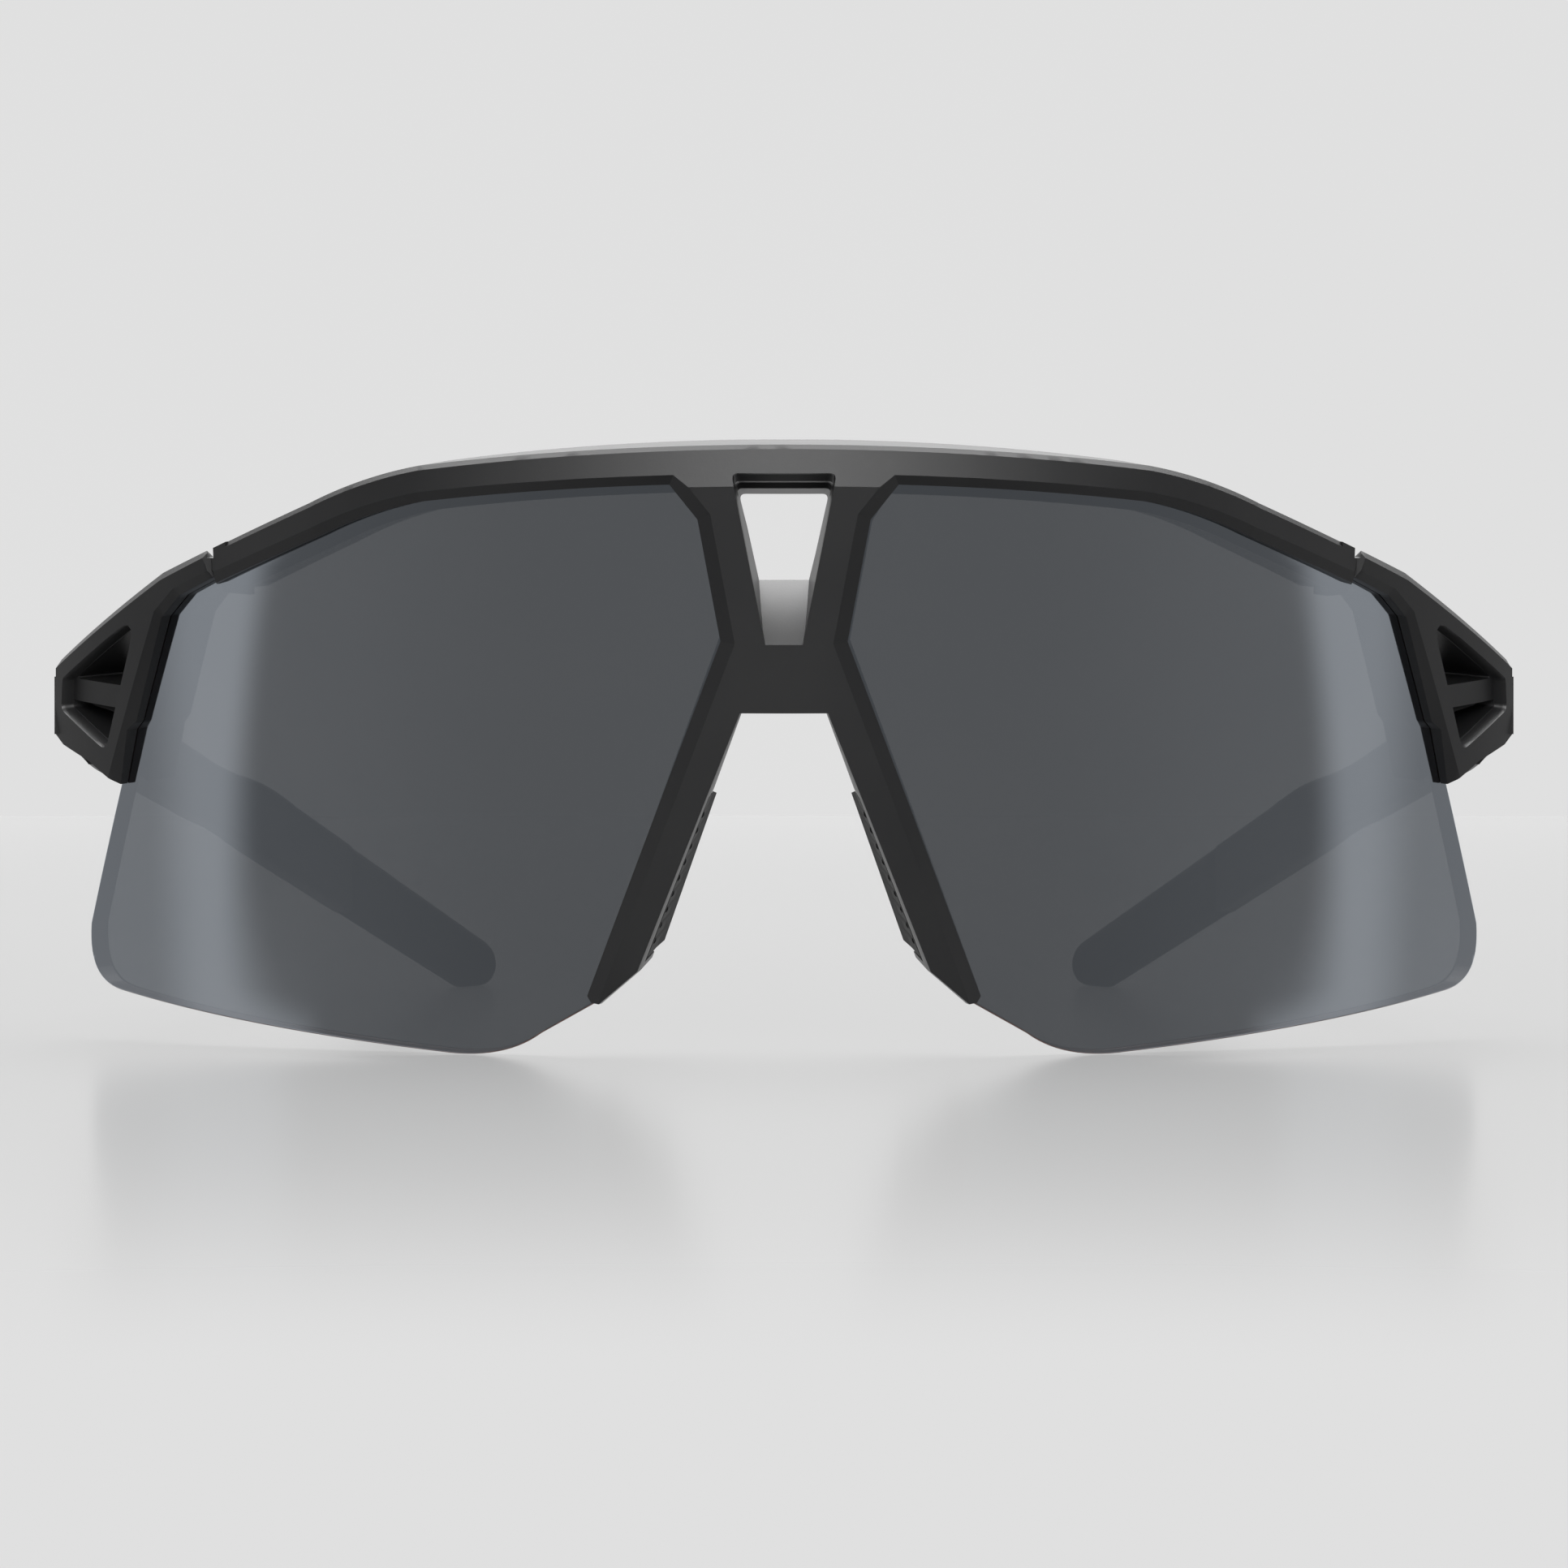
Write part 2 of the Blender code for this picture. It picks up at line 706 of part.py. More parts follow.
# ---- End piece and its pin ---------------------------------------------------------------------------


def vent_cutters(tools):
    """The three-cornered vent, open above and below the rib, and shallow over the rib."""
    j = BROW_HALF_LENGTH
    top = BROW_TOP - BROW_END_DROP
    upper, outer_top = (j + 11.7, top - 8.5), (j + 22.3, top - 15.0)
    outer_foot, lower = (j + 22.9, top - 17.4), (j + 16.2, top - 20.0)
    rib_top = top - 14.3
    rib_foot = rib_top - VENT_RIB

    def on_side(v):
        f = (upper[1] - v) / (upper[1] - lower[1])
        return (upper[0] + f * (lower[0] - upper[0]), v)

    def on_top(v):
        f = (upper[1] - v) / (upper[1] - outer_top[1])
        return (upper[0] + f * (outer_top[0] - upper[0]), v)

    whole = [upper, outer_top, outer_foot, lower]
    above = [upper, on_top(rib_top), on_side(rib_top)]
    outer_at_foot = (outer_top[0] + 0.3, rib_foot)
    below = [on_side(rib_foot), outer_at_foot, outer_foot, lower]
    back = -FRONT_BACK - 2
    return [
        plate("vent_face", whole, FRONT_PROUD - RIB_RECESS, FRONT_PROUD + 1, tools),
        plate("vent_above", above, back, FRONT_PROUD + 0.5, tools),
        plate("vent_below", below, back, FRONT_PROUD + 0.5, tools),
    ]


def tongue_slot(tools):
    """Room for the brow's tongue, open towards the brow and upwards, so that the piece can swing."""
    u, v = pivot()
    r = TONGUE_RADIUS + CLEARANCE
    arc = [(u + r * math.sin(a), v + r * math.cos(a)) for a in [math.pi * i / 8 for i in range(9)]]
    inner = BROW_HALF_LENGTH - 1
    outline = [(inner, v + 3 * r)] + [(u, v + 3 * r)] + arc[1:] + [(inner, v - r - 0.8)]
    return plate("slot", outline, -TONGUE_BACK - CLEARANCE, -TONGUE_FRONT + CLEARANCE, tools)


def world_plate(name, plan, low, high, tools):
    """A block in the temple layout from a plan outline in (s, t), laid on the glasses."""
    block = loft(name, [(low, plan), (high, plan)], in_plan, tools)
    reshape(block, temple_point, [])
    return block


def world_drum(name, radius, low, high, tools, sides=ROUND_SIDES):
    """A cylinder on the temple hinge's axis, laid on the glasses."""
    piece = drum(name, radius, low, high, (0, -HINGE_INSET), tools, sides)
    reshape(piece, temple_point, [])
    return piece


def lug_levels():
    """Heights in the hinge stack: the lower lug, the temple's knuckle and the upper lug."""
    top = temple_root()[2] - LUG_TOP_DROP
    upper = (top - LUG_HEIGHT, top)
    knuckle_top = upper[0] - CLEARANCE
    knuckle = (knuckle_top - KNUCKLE_HEIGHT, knuckle_top)
    lower_top = knuckle[0] - CLEARANCE
    return (lower_top - LUG_HEIGHT, lower_top), knuckle, upper


def hinge_blocks(tools):
    """The end piece's rear wall, which the open temple stops against, and the round-ended lug block."""
    lower, _, upper = lug_levels()
    face = -CLEARANCE / 2
    wall = [(face, -0.1), (face, -4.4), (-4.5, -4.4), (-6.5, -2.2), (-6.3, -1.0)]
    r = KNUCKLE_RADIUS
    ends = [math.pi * (0.5 - i / 8) for i in range(9)]
    lugs = [(r * math.cos(a), r * math.sin(a) - HINGE_INSET) for a in ends]
    lugs += [(-3.5, -HINGE_INSET - r), (-4.9, -HINGE_INSET - r + 0.3), (-5.2, -3.2)]
    return [
        world_plate("wall", wall, temple_foot(0) + 0.5, temple_top(0), tools),
        world_plate("lugs", lugs, lower[0], upper[1], tools),
    ]


def hinge_cutters(tools):
    """What the temple's knuckle, the screw and the nut take out of the end piece."""
    lower, knuckle, upper = lug_levels()
    head_seat = upper[1] - SCREW_HEAD_HEIGHT - 0.3
    nut_seat = lower[0] + SCREW_HEAD_HEIGHT + 0.3
    gap = KNUCKLE_RADIUS + CLEARANCE
    return [
        world_drum("swing", gap, knuckle[0] - CLEARANCE, knuckle[1] + CLEARANCE, tools, 20),
        world_drum("screw_hole", SCREW_RADIUS + RUNNING_GAP, lower[0] - 1, upper[1] + 1, tools, 12),
        world_drum("head_seat", SCREW_HEAD_RADIUS + CLEARANCE, head_seat, upper[1] + 1, tools, 12),
        world_drum("nut_seat", SCREW_HEAD_RADIUS + CLEARANCE, lower[0] - 1, nut_seat, tools, 12),
    ]


def make_endpiece(parts, tools, material):
    outer = endpiece_outer()
    rear = endpiece_inner(REAR_LIP_EXTRA)
    lip_foot = (rear[0][0] - 3.2, rear[0][1] + 6.2)
    outline = outer + [endpiece_inner(0)[0], (lip_foot[0] + 1.0, lip_foot[1] - 0.9), lip_foot] + rear[1:]
    endpiece = plate("endpiece_right", outline, -FRONT_BACK, FRONT_PROUD, parts, EDGE_CHAMFER)
    endpiece.data.materials.append(material)
    opening = endpiece_inner(0)
    foot, joint = opening[0], opening[-1]
    slope = Vector(foot) - Vector(opening[1])
    past = Vector(foot) + slope.normalized() * 4
    opening = [(past.x, past.y)] + opening[1:-1]
    opening += [(joint[0] - 3, joint[1] + 3 * BROW_SLOPE), (joint[0] - 3, past.y)]
    cut(endpiece, lip_cutter(opening, tools))
    cut(endpiece, groove(tools, SWING_CLEARANCE))
    cut(endpiece, *vent_cutters(tools))
    cut(endpiece, tongue_slot(tools))
    u, v = pivot()
    cut(endpiece, drum("pin_hole", PIN_HOLE_RADIUS, LENS_THICKNESS - 0.5, FRONT_BACK + 1, (u, v), tools, 12, "Y"))
    wrap(endpiece)
    join(endpiece, *hinge_blocks(tools))
    reshape(endpiece, in_plan, [])
    cut(endpiece, *hinge_cutters(tools))
    reshape(endpiece, in_plan, [])
    return endpiece


def make_endpiece_pin(parts, material):
    u, v = pivot()
    pin = drum("endpiece_pin_right", PIN_RADIUS, LENS_THICKNESS + 0.5, FRONT_BACK - 0.2, (u, v), parts, 12, "Y")
    pin.data.materials.append(material)
    reshape(pin, wrap_point, [])
    return pin


# ---- Temple and what is on it --------------------------------------------------------------------------


def temple_top(s):
    """Height of the temple's top edge: two straight runs with a soft bend between them."""
    root = temple_root()[2]
    return soft_bend(s, root, TEMPLE_STRAIGHT + 10.0, root - TEMPLE_TOP_DROP, TIP_END_HEIGHT - 0.5)


def temple_foot(s):
    """Height of the temple's lower edge, which rises a little at the hinge."""
    root = temple_root()[2] - TEMPLE_ROOT_HEIGHT
    relief = ROOT_RELIEF * (1 - min(s / ROOT_RELIEF_RUN, 1)) ** 2
    return soft_bend(s, root, TEMPLE_STRAIGHT, root - TEMPLE_FOOT_DROP, -TIP_OVERRUN) + relief


def soft_bend(s, root, bend, height, end):
    first = root + (height - root) * s / bend
    second = height + (end - height) * (s - bend) / (TEMPLE_LENGTH - bend)
    blend = min(max((s - bend + 8) / 16, 0), 1)
    blend = blend * blend * (3 - 2 * blend)
    return first + (second - first) * blend


def temple_stations(start, end, count):
    return [start + (end - start) * i / count for i in range(count + 1)]


def temple_band(start, end, count):
    """Closed outline in (s, z) of the temple between two stations."""
    stations = temple_stations(start, end, count)
    upper = [(s, temple_top(s)) for s in stations]
    lower = [(s, temple_foot(s)) for s in reversed(stations)]
    return upper + lower


def core_outline(start, end, height):
    """A straight band along the middle of the temple's rear run."""
    points = []
    for s in (start, end):
        points.append((s, (temple_top(s) + temple_foot(s)) / 2))
    (s0, z0), (s1, z1) = points
    return [(s0, z0 + height / 2), (s1, z1 + height / 2), (s1, z1 - height / 2), (s0, z0 - height / 2)]


def tip_start():
    return TEMPLE_LENGTH - TIP_LENGTH


def core_span():
    return tip_start() - CORE_BITE, tip_start() + CORE_REACH


def core_slot(name, tools):
    """The space for the tip core, with its clearance, in the temple layout."""
    start, end = core_span()
    outline = core_outline(start - CLEARANCE, end + CLEARANCE, CORE_HEIGHT + 2 * CLEARANCE)
    middle = -TEMPLE_THICKNESS / 2
    half = CORE_THICKNESS / 2 + CLEARANCE
    return loft(name, [(middle - half, outline), (middle + half, outline)], in_temple, tools)


def taper_inner_face(obj):
    """Thins the temple behind its hinge end by drawing its inner face outwards."""
    for vertex in obj.data.vertices:
        share = min(max((vertex.co.x / MM - 8.0) / 14.0, 0), 1)
        thinner = 1 + (TEMPLE_THICKNESS / TEMPLE_ROOT_THICKNESS - 1) * share
        vertex.co.y *= thinner


def make_temple(parts, tools, material):
    outline = temple_band(CLEARANCE / 2, tip_start(), 14)
    layers = [
        (-TEMPLE_ROOT_THICKNESS, inset(outline, 0.6)),
        (-TEMPLE_ROOT_THICKNESS + 0.7, outline),
        (-0.9, outline),
        (0, inset(outline, 0.8)),
    ]
    temple = loft("temple_right", layers, in_temple, parts)
    temple.data.materials.append(material)
    taper_inner_face(temple)
    cut(temple, core_slot("slot", tools))
    lower, knuckle, upper = lug_levels()
    axis = (0, -HINGE_INSET)
    arm = [(0, -HINGE_INSET), (0, -2.0), (3.5, -2.0), (3.5, -HINGE_INSET)]
    arm_block = loft("arm", [(knuckle[0] + 0.01, arm), (knuckle[1] - 0.01, arm)], in_plan, tools)
    gap = KNUCKLE_RADIUS + CLEARANCE
    cut(temple, drum("low", gap, lower[0] - 2, lower[1] + CLEARANCE, axis, tools, 20))
    cut(temple, drum("high", gap, upper[0] - CLEARANCE, upper[1] + 6, axis, tools, 20))
    join(temple, arm_block)
    join(temple, drum("knuckle", KNUCKLE_RADIUS, *knuckle, axis, tools))
    bore = SCREW_RADIUS + RUNNING_GAP + BUSH_WALL + RUNNING_GAP
    cut(temple, drum("bore", bore, knuckle[0] - 1, knuckle[1] + 1, axis, tools))
    lay_temple(temple)
    return temple


def make_tip(parts, tools, material):
    """The rubber tip: a sleeve over the core with a rounded end and a flat to stand on."""
    start, end = tip_start() + CLEARANCE, TEMPLE_LENGTH
    rest_start = end - TIP_REST_LENGTH - 1.5
    stations = temple_stations(start, end - 3.0, 6)
    upper = [(s, temple_top(s)) for s in stations]
    upper += quad((end - 2.0, temple_top(end - 2.0) - 0.2), (end, TIP_END_HEIGHT), (end, 2.6), 3)
    upper += quad((end, 1.8), (end, 0), (end - 1.5, 0), 3)
    lower = [(s, temple_foot(s)) for s in reversed(temple_stations(start, rest_start - 3.5, 5))]
    outline = upper + [(rest_start, 0)] + lower
    middle = -TEMPLE_THICKNESS / 2
    half = TIP_THICKNESS / 2
    layers = [
        (middle - half, inset(outline, 0.7)),
        (middle - half + 0.8, outline),
        (middle + half - 0.8, outline),
        (middle + half, inset(outline, 0.7)),
    ]
    tip = loft("temple_tip_right", layers, in_temple, parts)
    tip.data.materials.append(material)
    cut(tip, core_slot("slot", tools))
    lay_temple(tip)
    return tip


def make_core(parts, material):
    outline = core_outline(*core_span(), CORE_HEIGHT)
    middle = -TEMPLE_THICKNESS / 2
    half = CORE_THICKNESS / 2
    core = loft("tip_core_right", [(middle - half, outline), (middle + half, outline)], in_temple, parts)
    core.data.materials.append(material)
    lay_temple(core)
    return core


def hinge_drum(name, radius, low, high, collection, sides=ROUND_SIDES):
    """A cylinder on the hinge axis, still in the temple layout."""
    return drum(name, radius, low, high, (0, -HINGE_INSET), collection, sides)


def make_bush(parts, tools, material):
    _, knuckle, _ = lug_levels()
    bore = SCREW_RADIUS + RUNNING_GAP
    bush = hinge_drum("hinge_bush_right", bore + BUSH_WALL, knuckle[0] - 0.1, knuckle[1] + 0.1, parts)
    bush.data.materials.append(material)
    cut(bush, hinge_drum("bore", bore, knuckle[0] - 1, knuckle[1] + 1, tools))
    reshape(bush, temple_point, [])
    return bush


def make_screw(parts, tools, material):
    """A pan-head screw from the upper lug down into the nut, with a slot for its driver."""
    lower, _, upper = lug_levels()
    under_head = upper[1] - SCREW_HEAD_HEIGHT - 0.1
    top = under_head + SCREW_HEAD_HEIGHT
    screw = hinge_drum("hinge_screw_right", SCREW_HEAD_RADIUS, under_head, top, parts)
    screw.data.materials.append(material)
    half = SCREW_HEAD_RADIUS + 0.3
    side = DRIVER_SLOT / 2
    slot = [(-half, -side), (half, -side), (half, side), (-half, side)]
    slot = [(s, t - HINGE_INSET) for s, t in slot]
    cut(screw, loft("driver_slot", [(top - DRIVER_SLOT, slot), (top + 1, slot)], in_plan, tools))
    join(screw, hinge_drum("shank", SCREW_RADIUS, lower[0] + 0.2, under_head + 0.2, tools, 12))
    reshape(screw, temple_point, [])
    return screw


def make_nut(parts, tools, material):
    lower, _, _ = lug_levels()
    low = lower[0] + 0.1
    nut = hinge_drum("hinge_nut_right", SCREW_HEAD_RADIUS, low, low + SCREW_HEAD_HEIGHT, parts, 6)
    nut.data.materials.append(material)
    cut(nut, hinge_drum("bore", SCREW_RADIUS + RUNNING_GAP, low - 1, low + 2, tools, 12))
    reshape(nut, temple_point, [])
    return nut


# ---- Assembly ------------------------------------------------------------------------------------------


def empty_at(name, position, parent, collection):
    """An empty on a joint's axis, with the pieces that turn with it as its children."""
    empty = bpy.data.objects.new(name, None)
    empty.location = Vector(position) * MM
    empty.empty_display_size = 5 * MM
    collection.objects.link(empty)
    bpy.context.view_layer.update()
    hang(empty, parent)
    return empty


def hang(obj, parent):
    """Parents obj without moving it."""
    if parent is None:
        return
    bpy.context.view_layer.update()
    obj.parent = parent
    obj.matrix_parent_inverse = parent.matrix_world.inverted()


def stand_on_floor(root, collection):
    """Moves the glasses so that the middle of their box stands on the origin."""
    low = Vector((1e9, 1e9, 1e9))
    high = -low
    for obj in collection.objects:
        if obj.type != "MESH":
            continue
        for vertex in obj.data.vertices:
            point = obj.matrix_world @ vertex.co
            low = Vector(map(min, low, point))
            high = Vector(map(max, high, point))
    root.location = (-(low.x + high.x) / 2, -(low.y + high.y) / 2, -low.z)


def main():
    clear_scene()
    parts = make_collection(COLLECTION)
    tools = make_collection("cutters")
    frame_plastic = make_material("frame_plastic", (0.022, 0.022, 0.024), 0.42)
    lens_mirror = make_material("lens_mirror", (0.10, 0.11, 0.12), 0.06, metallic=0.6)
    soft_rubber = make_material("soft_rubber", (0.015, 0.015, 0.016), 0.7)
    steel = make_material("steel", (0.55, 0.55, 0.56), 0.3, metallic=1.0)
    brass = make_material("brass", (0.70, 0.55, 0.28), 0.35, metallic=1.0)
    nylon = make_material("nylon", (0.06, 0.06, 0.06), 0.5)

    root = bpy.data.objects.new("root", None)
    parts.objects.link(root)
    front = make_front(parts, tools, frame_plastic)
    hang(front, root)
    on_root = [make_lens(parts, lens_mirror), make_nose_pad(parts, tools, soft_rubber)]
    on_root.append(make_endpiece_pin(parts, steel))
    on_endpiece = [
        make_endpiece(parts, tools, frame_plastic),
        make_screw(parts, tools, steel),
        make_nut(parts, tools, brass),
    ]
    on_temple = [
        make_temple(parts, tools, frame_plastic),
        make_tip(parts, tools, soft_rubber),
        make_core(parts, steel),
        make_bush(parts, tools, nylon),
    ]
    u, v = pivot()
    swing_at = wrap_point(u, 0, v)
    fold_at = temple_point(0, -HINGE_INSET, 0)
    for side, sign in (("right", 1), ("left", -1)):
        swing = empty_at("swing_axis_" + side, (sign * swing_at[0], *swing_at[1:]), root, parts)
        fold = empty_at("fold_axis_" + side, (sign * fold_at[0], *fold_at[1:]), swing, parts)
        for pieces, parent in ((on_root, root), (on_endpiece, swing), (on_temple, fold)):
            for piece in pieces:
                owner = piece if sign > 0 else mirrored(piece, piece.name.replace("right", "left"))
                hang(owner, parent)
    bpy.context.view_layer.update()
    stand_on_floor(root, parts)


main()
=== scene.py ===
"""Finished surfaces for the wraparound sport sunglasses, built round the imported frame.

Two flat layouts are drawn in millimetres and bent into place by node trees:
  the front layout (u, v, w): arc length round the lens cylinder, height along its axis, distance in front;
  the temple layout (s, z, t): length along the temple, height, distance outside its outer face.
"""

import json
import math

import bmesh
import bpy
from mathutils import Matrix, Vector


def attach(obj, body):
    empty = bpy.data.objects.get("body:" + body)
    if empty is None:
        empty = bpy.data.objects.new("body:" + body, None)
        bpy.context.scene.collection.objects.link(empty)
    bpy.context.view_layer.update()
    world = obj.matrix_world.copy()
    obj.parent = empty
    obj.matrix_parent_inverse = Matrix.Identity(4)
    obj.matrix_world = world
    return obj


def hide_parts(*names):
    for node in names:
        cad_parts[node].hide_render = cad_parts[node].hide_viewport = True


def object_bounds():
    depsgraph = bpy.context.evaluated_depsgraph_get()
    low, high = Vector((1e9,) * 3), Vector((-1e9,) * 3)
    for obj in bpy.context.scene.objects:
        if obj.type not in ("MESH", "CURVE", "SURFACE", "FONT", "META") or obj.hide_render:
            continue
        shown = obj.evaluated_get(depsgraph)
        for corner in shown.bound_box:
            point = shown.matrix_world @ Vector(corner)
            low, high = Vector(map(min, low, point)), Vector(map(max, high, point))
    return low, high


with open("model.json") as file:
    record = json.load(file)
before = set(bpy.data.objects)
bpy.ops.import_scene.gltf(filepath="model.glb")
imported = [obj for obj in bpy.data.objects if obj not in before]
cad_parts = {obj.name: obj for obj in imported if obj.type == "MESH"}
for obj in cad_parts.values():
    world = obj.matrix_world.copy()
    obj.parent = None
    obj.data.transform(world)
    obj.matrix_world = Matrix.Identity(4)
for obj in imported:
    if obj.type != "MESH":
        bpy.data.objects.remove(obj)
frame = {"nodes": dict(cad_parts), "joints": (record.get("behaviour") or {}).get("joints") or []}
cad_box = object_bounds()

MM = 0.001

# Lens
LENS_RADIUS = 90.0
LENS_TILT = math.radians(9.0)
LENS_THICKNESS = 2.0
LENS_BITE = 1.4
CLEARANCE = 0.3
LENS_SEAT = 0.08
LENS_FOOT = 0.62

# Front
BROW_HALF_LENGTH = 57.2
BROW_TOP = 57.4
KINK_RUN = 11.8
KINK_DROP = 2.45
BROW_END_DROP = 11.1
SHOULDER_RUN = 11.2
BROW_SLOPE = 0.42
BAR_HEIGHT = 3.5
BAR_TAPER = 0.35
REAR_LIP_EXTRA = 1.0
ENDPIECE_REAR_LIP = -0.5
ARM_LIP_EXTRA = 0.35
FRONT_PROUD = 1.6
FRONT_BACK = 6.0
LIP_EDGE = 0.85
LIP_CHAMFER = 1.3
TOP_CHAMFER = 1.05
REAR_CHAMFER = 0.35
EDGE_CHAMFER = 0.12
EDGE_ROUNDING = 0.14
LEAN_DROP = 3.7
LEAN_DEPTH = 0.75

# Centre
WAIST_U = 5.73
WAIST_V = 39.5
CORNER_U = 7.78
CORNER_DROP = 6.8
CORNER_TOP_U = 10.3
WINDOW_TOP_DROP = 2.5
WINDOW_FOOT_RAISE = 6.4
WINDOW_RAMP = 5.1
WINDOW_LEVELS = (
    (-7.0, 4.40, 2.75, 2.55),
    (-5.4, 4.43, 2.45, 2.42),
    (-2.6, 4.48, 1.75, 2.16),
    (-2.2, 4.50, 1.2, 2.12),
    (0.2, 4.56, 0.85, 1.88),
    (1.1, 4.60, 0.15, 1.72),
    (2.6, 4.94, -0.5, 1.60),
)
BRIDGE_FOOT_V = 32.9
ARCH_HALF = 3.85
ARM_TIP_U = 18.06
ARM_TIP_V = 6.56
ARM_WIDTH = 3.75
ARM_FOOT_RUN = 3.8

# End piece
JOINT_GAP = 0.4
JOINT_SLANT = 0.2
JOINT_DRIFT = 0.778
JOINT_LINE = 0.3
NOTCH_WIDTH = 0.75
NOTCH_DEPTH = 0.95
ENDPIECE_LENGTH = 24.9
FACET_DROP = 14.3
OUTER_FACET = 6.2
SWING_CLEARANCE = 0.6
PIVOT_RUN = 1.9
PIVOT_DROP = 2.15
PIN_HOLE_RADIUS = 0.8
TONGUE_RADIUS = 1.5
TONGUE_FRONT = 3.4
TONGUE_BACK = 4.8
VENT_RIB = 1.9
RIB_RECESS = 1.2

# Temple hinge
HINGE_SETBACK = 6.8
HINGE_INSET = 5.0
KNUCKLE_RADIUS = 2.6
LUG_TOP_DROP = 1.7
LUG_HEIGHT = 2.1
KNUCKLE_HEIGHT = 2.2
SCREW_RADIUS = 0.7
SCREW_HEAD_RADIUS = 1.3
SCREW_HEAD_HEIGHT = 0.8
BUSH_WALL = 0.6
RUNNING_GAP = 0.2

# Temple
TEMPLE_SPLAY = math.radians(8.7)
TEMPLE_BEND = math.radians(14.1)
TEMPLE_STRAIGHT = 48.0
TEMPLE_BEND_LENGTH = 14.0
TEMPLE_LENGTH = 115.5
TEMPLE_ROOT_HEIGHT = 7.8
ROOT_RELIEF = 1.6
ROOT_RELIEF_RUN = 10.0
TEMPLE_ROOT_DROP = 0.3
TEMPLE_TOP_DROP = 10.75
TEMPLE_FOOT_DROP = 8.1
TEMPLE_ROOT_THICKNESS = 4.5
TEMPLE_THICKNESS = 3.0
TIP_LENGTH = 37.5
TIP_THICKNESS = 4.0
TIP_END_HEIGHT = 5.4
TIP_OVERRUN = 2.4
TIP_END_RADIUS = 2.6
TIP_EDGE_RADIUS = 1.85
TEMPLE_EDGE_RADIUS = 0.8
TEMPLE_RINGS = 60

# Nose pad
PAD_LENGTH = 16.0
PAD_FOOT_RUN = 0.9
PAD_THICKNESS = 1.0
PAD_SINK = 1.3
PAD_SETBACK = 0.8
PAD_DEPTH = 9.5
PAD_COVER = 3.4
PAD_RIB_COUNT = 9
PAD_RIB_HEIGHT = 0.15
PAD_RIB_LENGTH = 6.4
PAD_RIB_RADIUS = 0.5

WRAP_STEP = 1.0
ROUND_SIDES = 40
CURVE_STEPS = 14


# ---- Node trees ----------------------------------------------------------------------------------


class Wire:
    """A socket, with arithmetic that adds Math nodes to its tree."""

    def __init__(self, graph, socket):
        self.graph = graph
        self.socket = socket

    def math(self, operation, *values):
        node = self.graph.node("ShaderNodeMath", {"operation": operation}, dict(enumerate(values)))
        return Wire(self.graph, node.outputs[0])

    def __add__(self, other):
        return self.math("ADD", self, other)

    def __radd__(self, other):
        return self.math("ADD", other, self)

    def __sub__(self, other):
        return self.math("SUBTRACT", self, other)

    def __rsub__(self, other):
        return self.math("SUBTRACT", other, self)

    def __mul__(self, other):
        return self.math("MULTIPLY", self, other)

    def __rmul__(self, other):
        return self.math("MULTIPLY", other, self)

    def __truediv__(self, other):
        return self.math("DIVIDE", self, other)

    def __abs__(self):
        return self.math("ABSOLUTE", self)

    def sine(self):
        return self.math("SINE", self)

    def cosine(self):
        return self.math("COSINE", self)

    def rise(self, low, high):
        """0 below low, 1 above high, and smooth between them."""
        settings = {"interpolation_type": "SMOOTHSTEP"}
        node = self.graph.node(
            "ShaderNodeMapRange", settings, {"Value": self, "From Min": low, "From Max": high}
        )
        return Wire(self.graph, node.outputs[0])


class Graph:
    """A node tree, and the one way nodes are added to it."""

    def __init__(self, tree):
        self.tree = tree
        tree.nodes.clear()

    def node(self, kind, settings=None, sockets=None):
        node = self.tree.nodes.new(kind)
        for name, value in (settings or {}).items():
            setattr(node, name, value)
        for name, value in (sockets or {}).items():
            if isinstance(value, Wire):
                self.tree.links.new(value.socket, node.inputs[name])
            else:
                node.inputs[name].default_value = value
        return node

    def wire(self, kind, settings=None, sockets=None, output=0):
        return Wire(self, self.node(kind, settings, sockets).outputs[output])

    def parts(self, vector):
        node = self.node("ShaderNodeSeparateXYZ", None, {0: vector})
        return [Wire(self, node.outputs[i]) for i in range(3)]

    def mixed(self, share, first, second):
        """A colour between first and second."""
        sockets = {"Factor": share, "A": first, "B": second}
        node = self.tree.nodes.new("ShaderNodeMix")
        node.data_type = "RGBA"
        for name, value in sockets.items():
            socket = [s for s in node.inputs if s.name == name and s.enabled][0]
            if isinstance(value, Wire):
                self.tree.links.new(value.socket, socket)
            else:
                socket.default_value = value
        return Wire(self, [s for s in node.outputs if s.enabled][0])


# ---- Finishes --------------------------------------------------------------------------------------


def finish_graph(name):
    """A new material with an empty tree, and the place on the piece that its patterns start from."""
    material = bpy.data.materials.new(name)
    material.use_nodes = True
    graph = Graph(material.node_tree)
    place = graph.wire("ShaderNodeTexCoord", output="Object")
    return material, graph, place


def noise(graph, place, scale, detail=2.0, roughness=0.5):
    """Noise whose scale is in cells per millimetre."""
    sockets = {"Vector": place, "Scale": scale / MM, "Detail": detail, "Roughness": roughness}
    return graph.wire("ShaderNodeTexNoise", None, sockets)


def grey(value):
    return (value, value, value, 1.0)


def close(graph, shader):
    graph.node("ShaderNodeOutputMaterial", None, {"Surface": Wire(graph, shader.outputs[0])})


def bump(graph, height, distance, strength=1.0):
    sockets = {"Height": height, "Distance": distance * MM, "Strength": strength}
    return graph.wire("ShaderNodeBump", None, sockets)


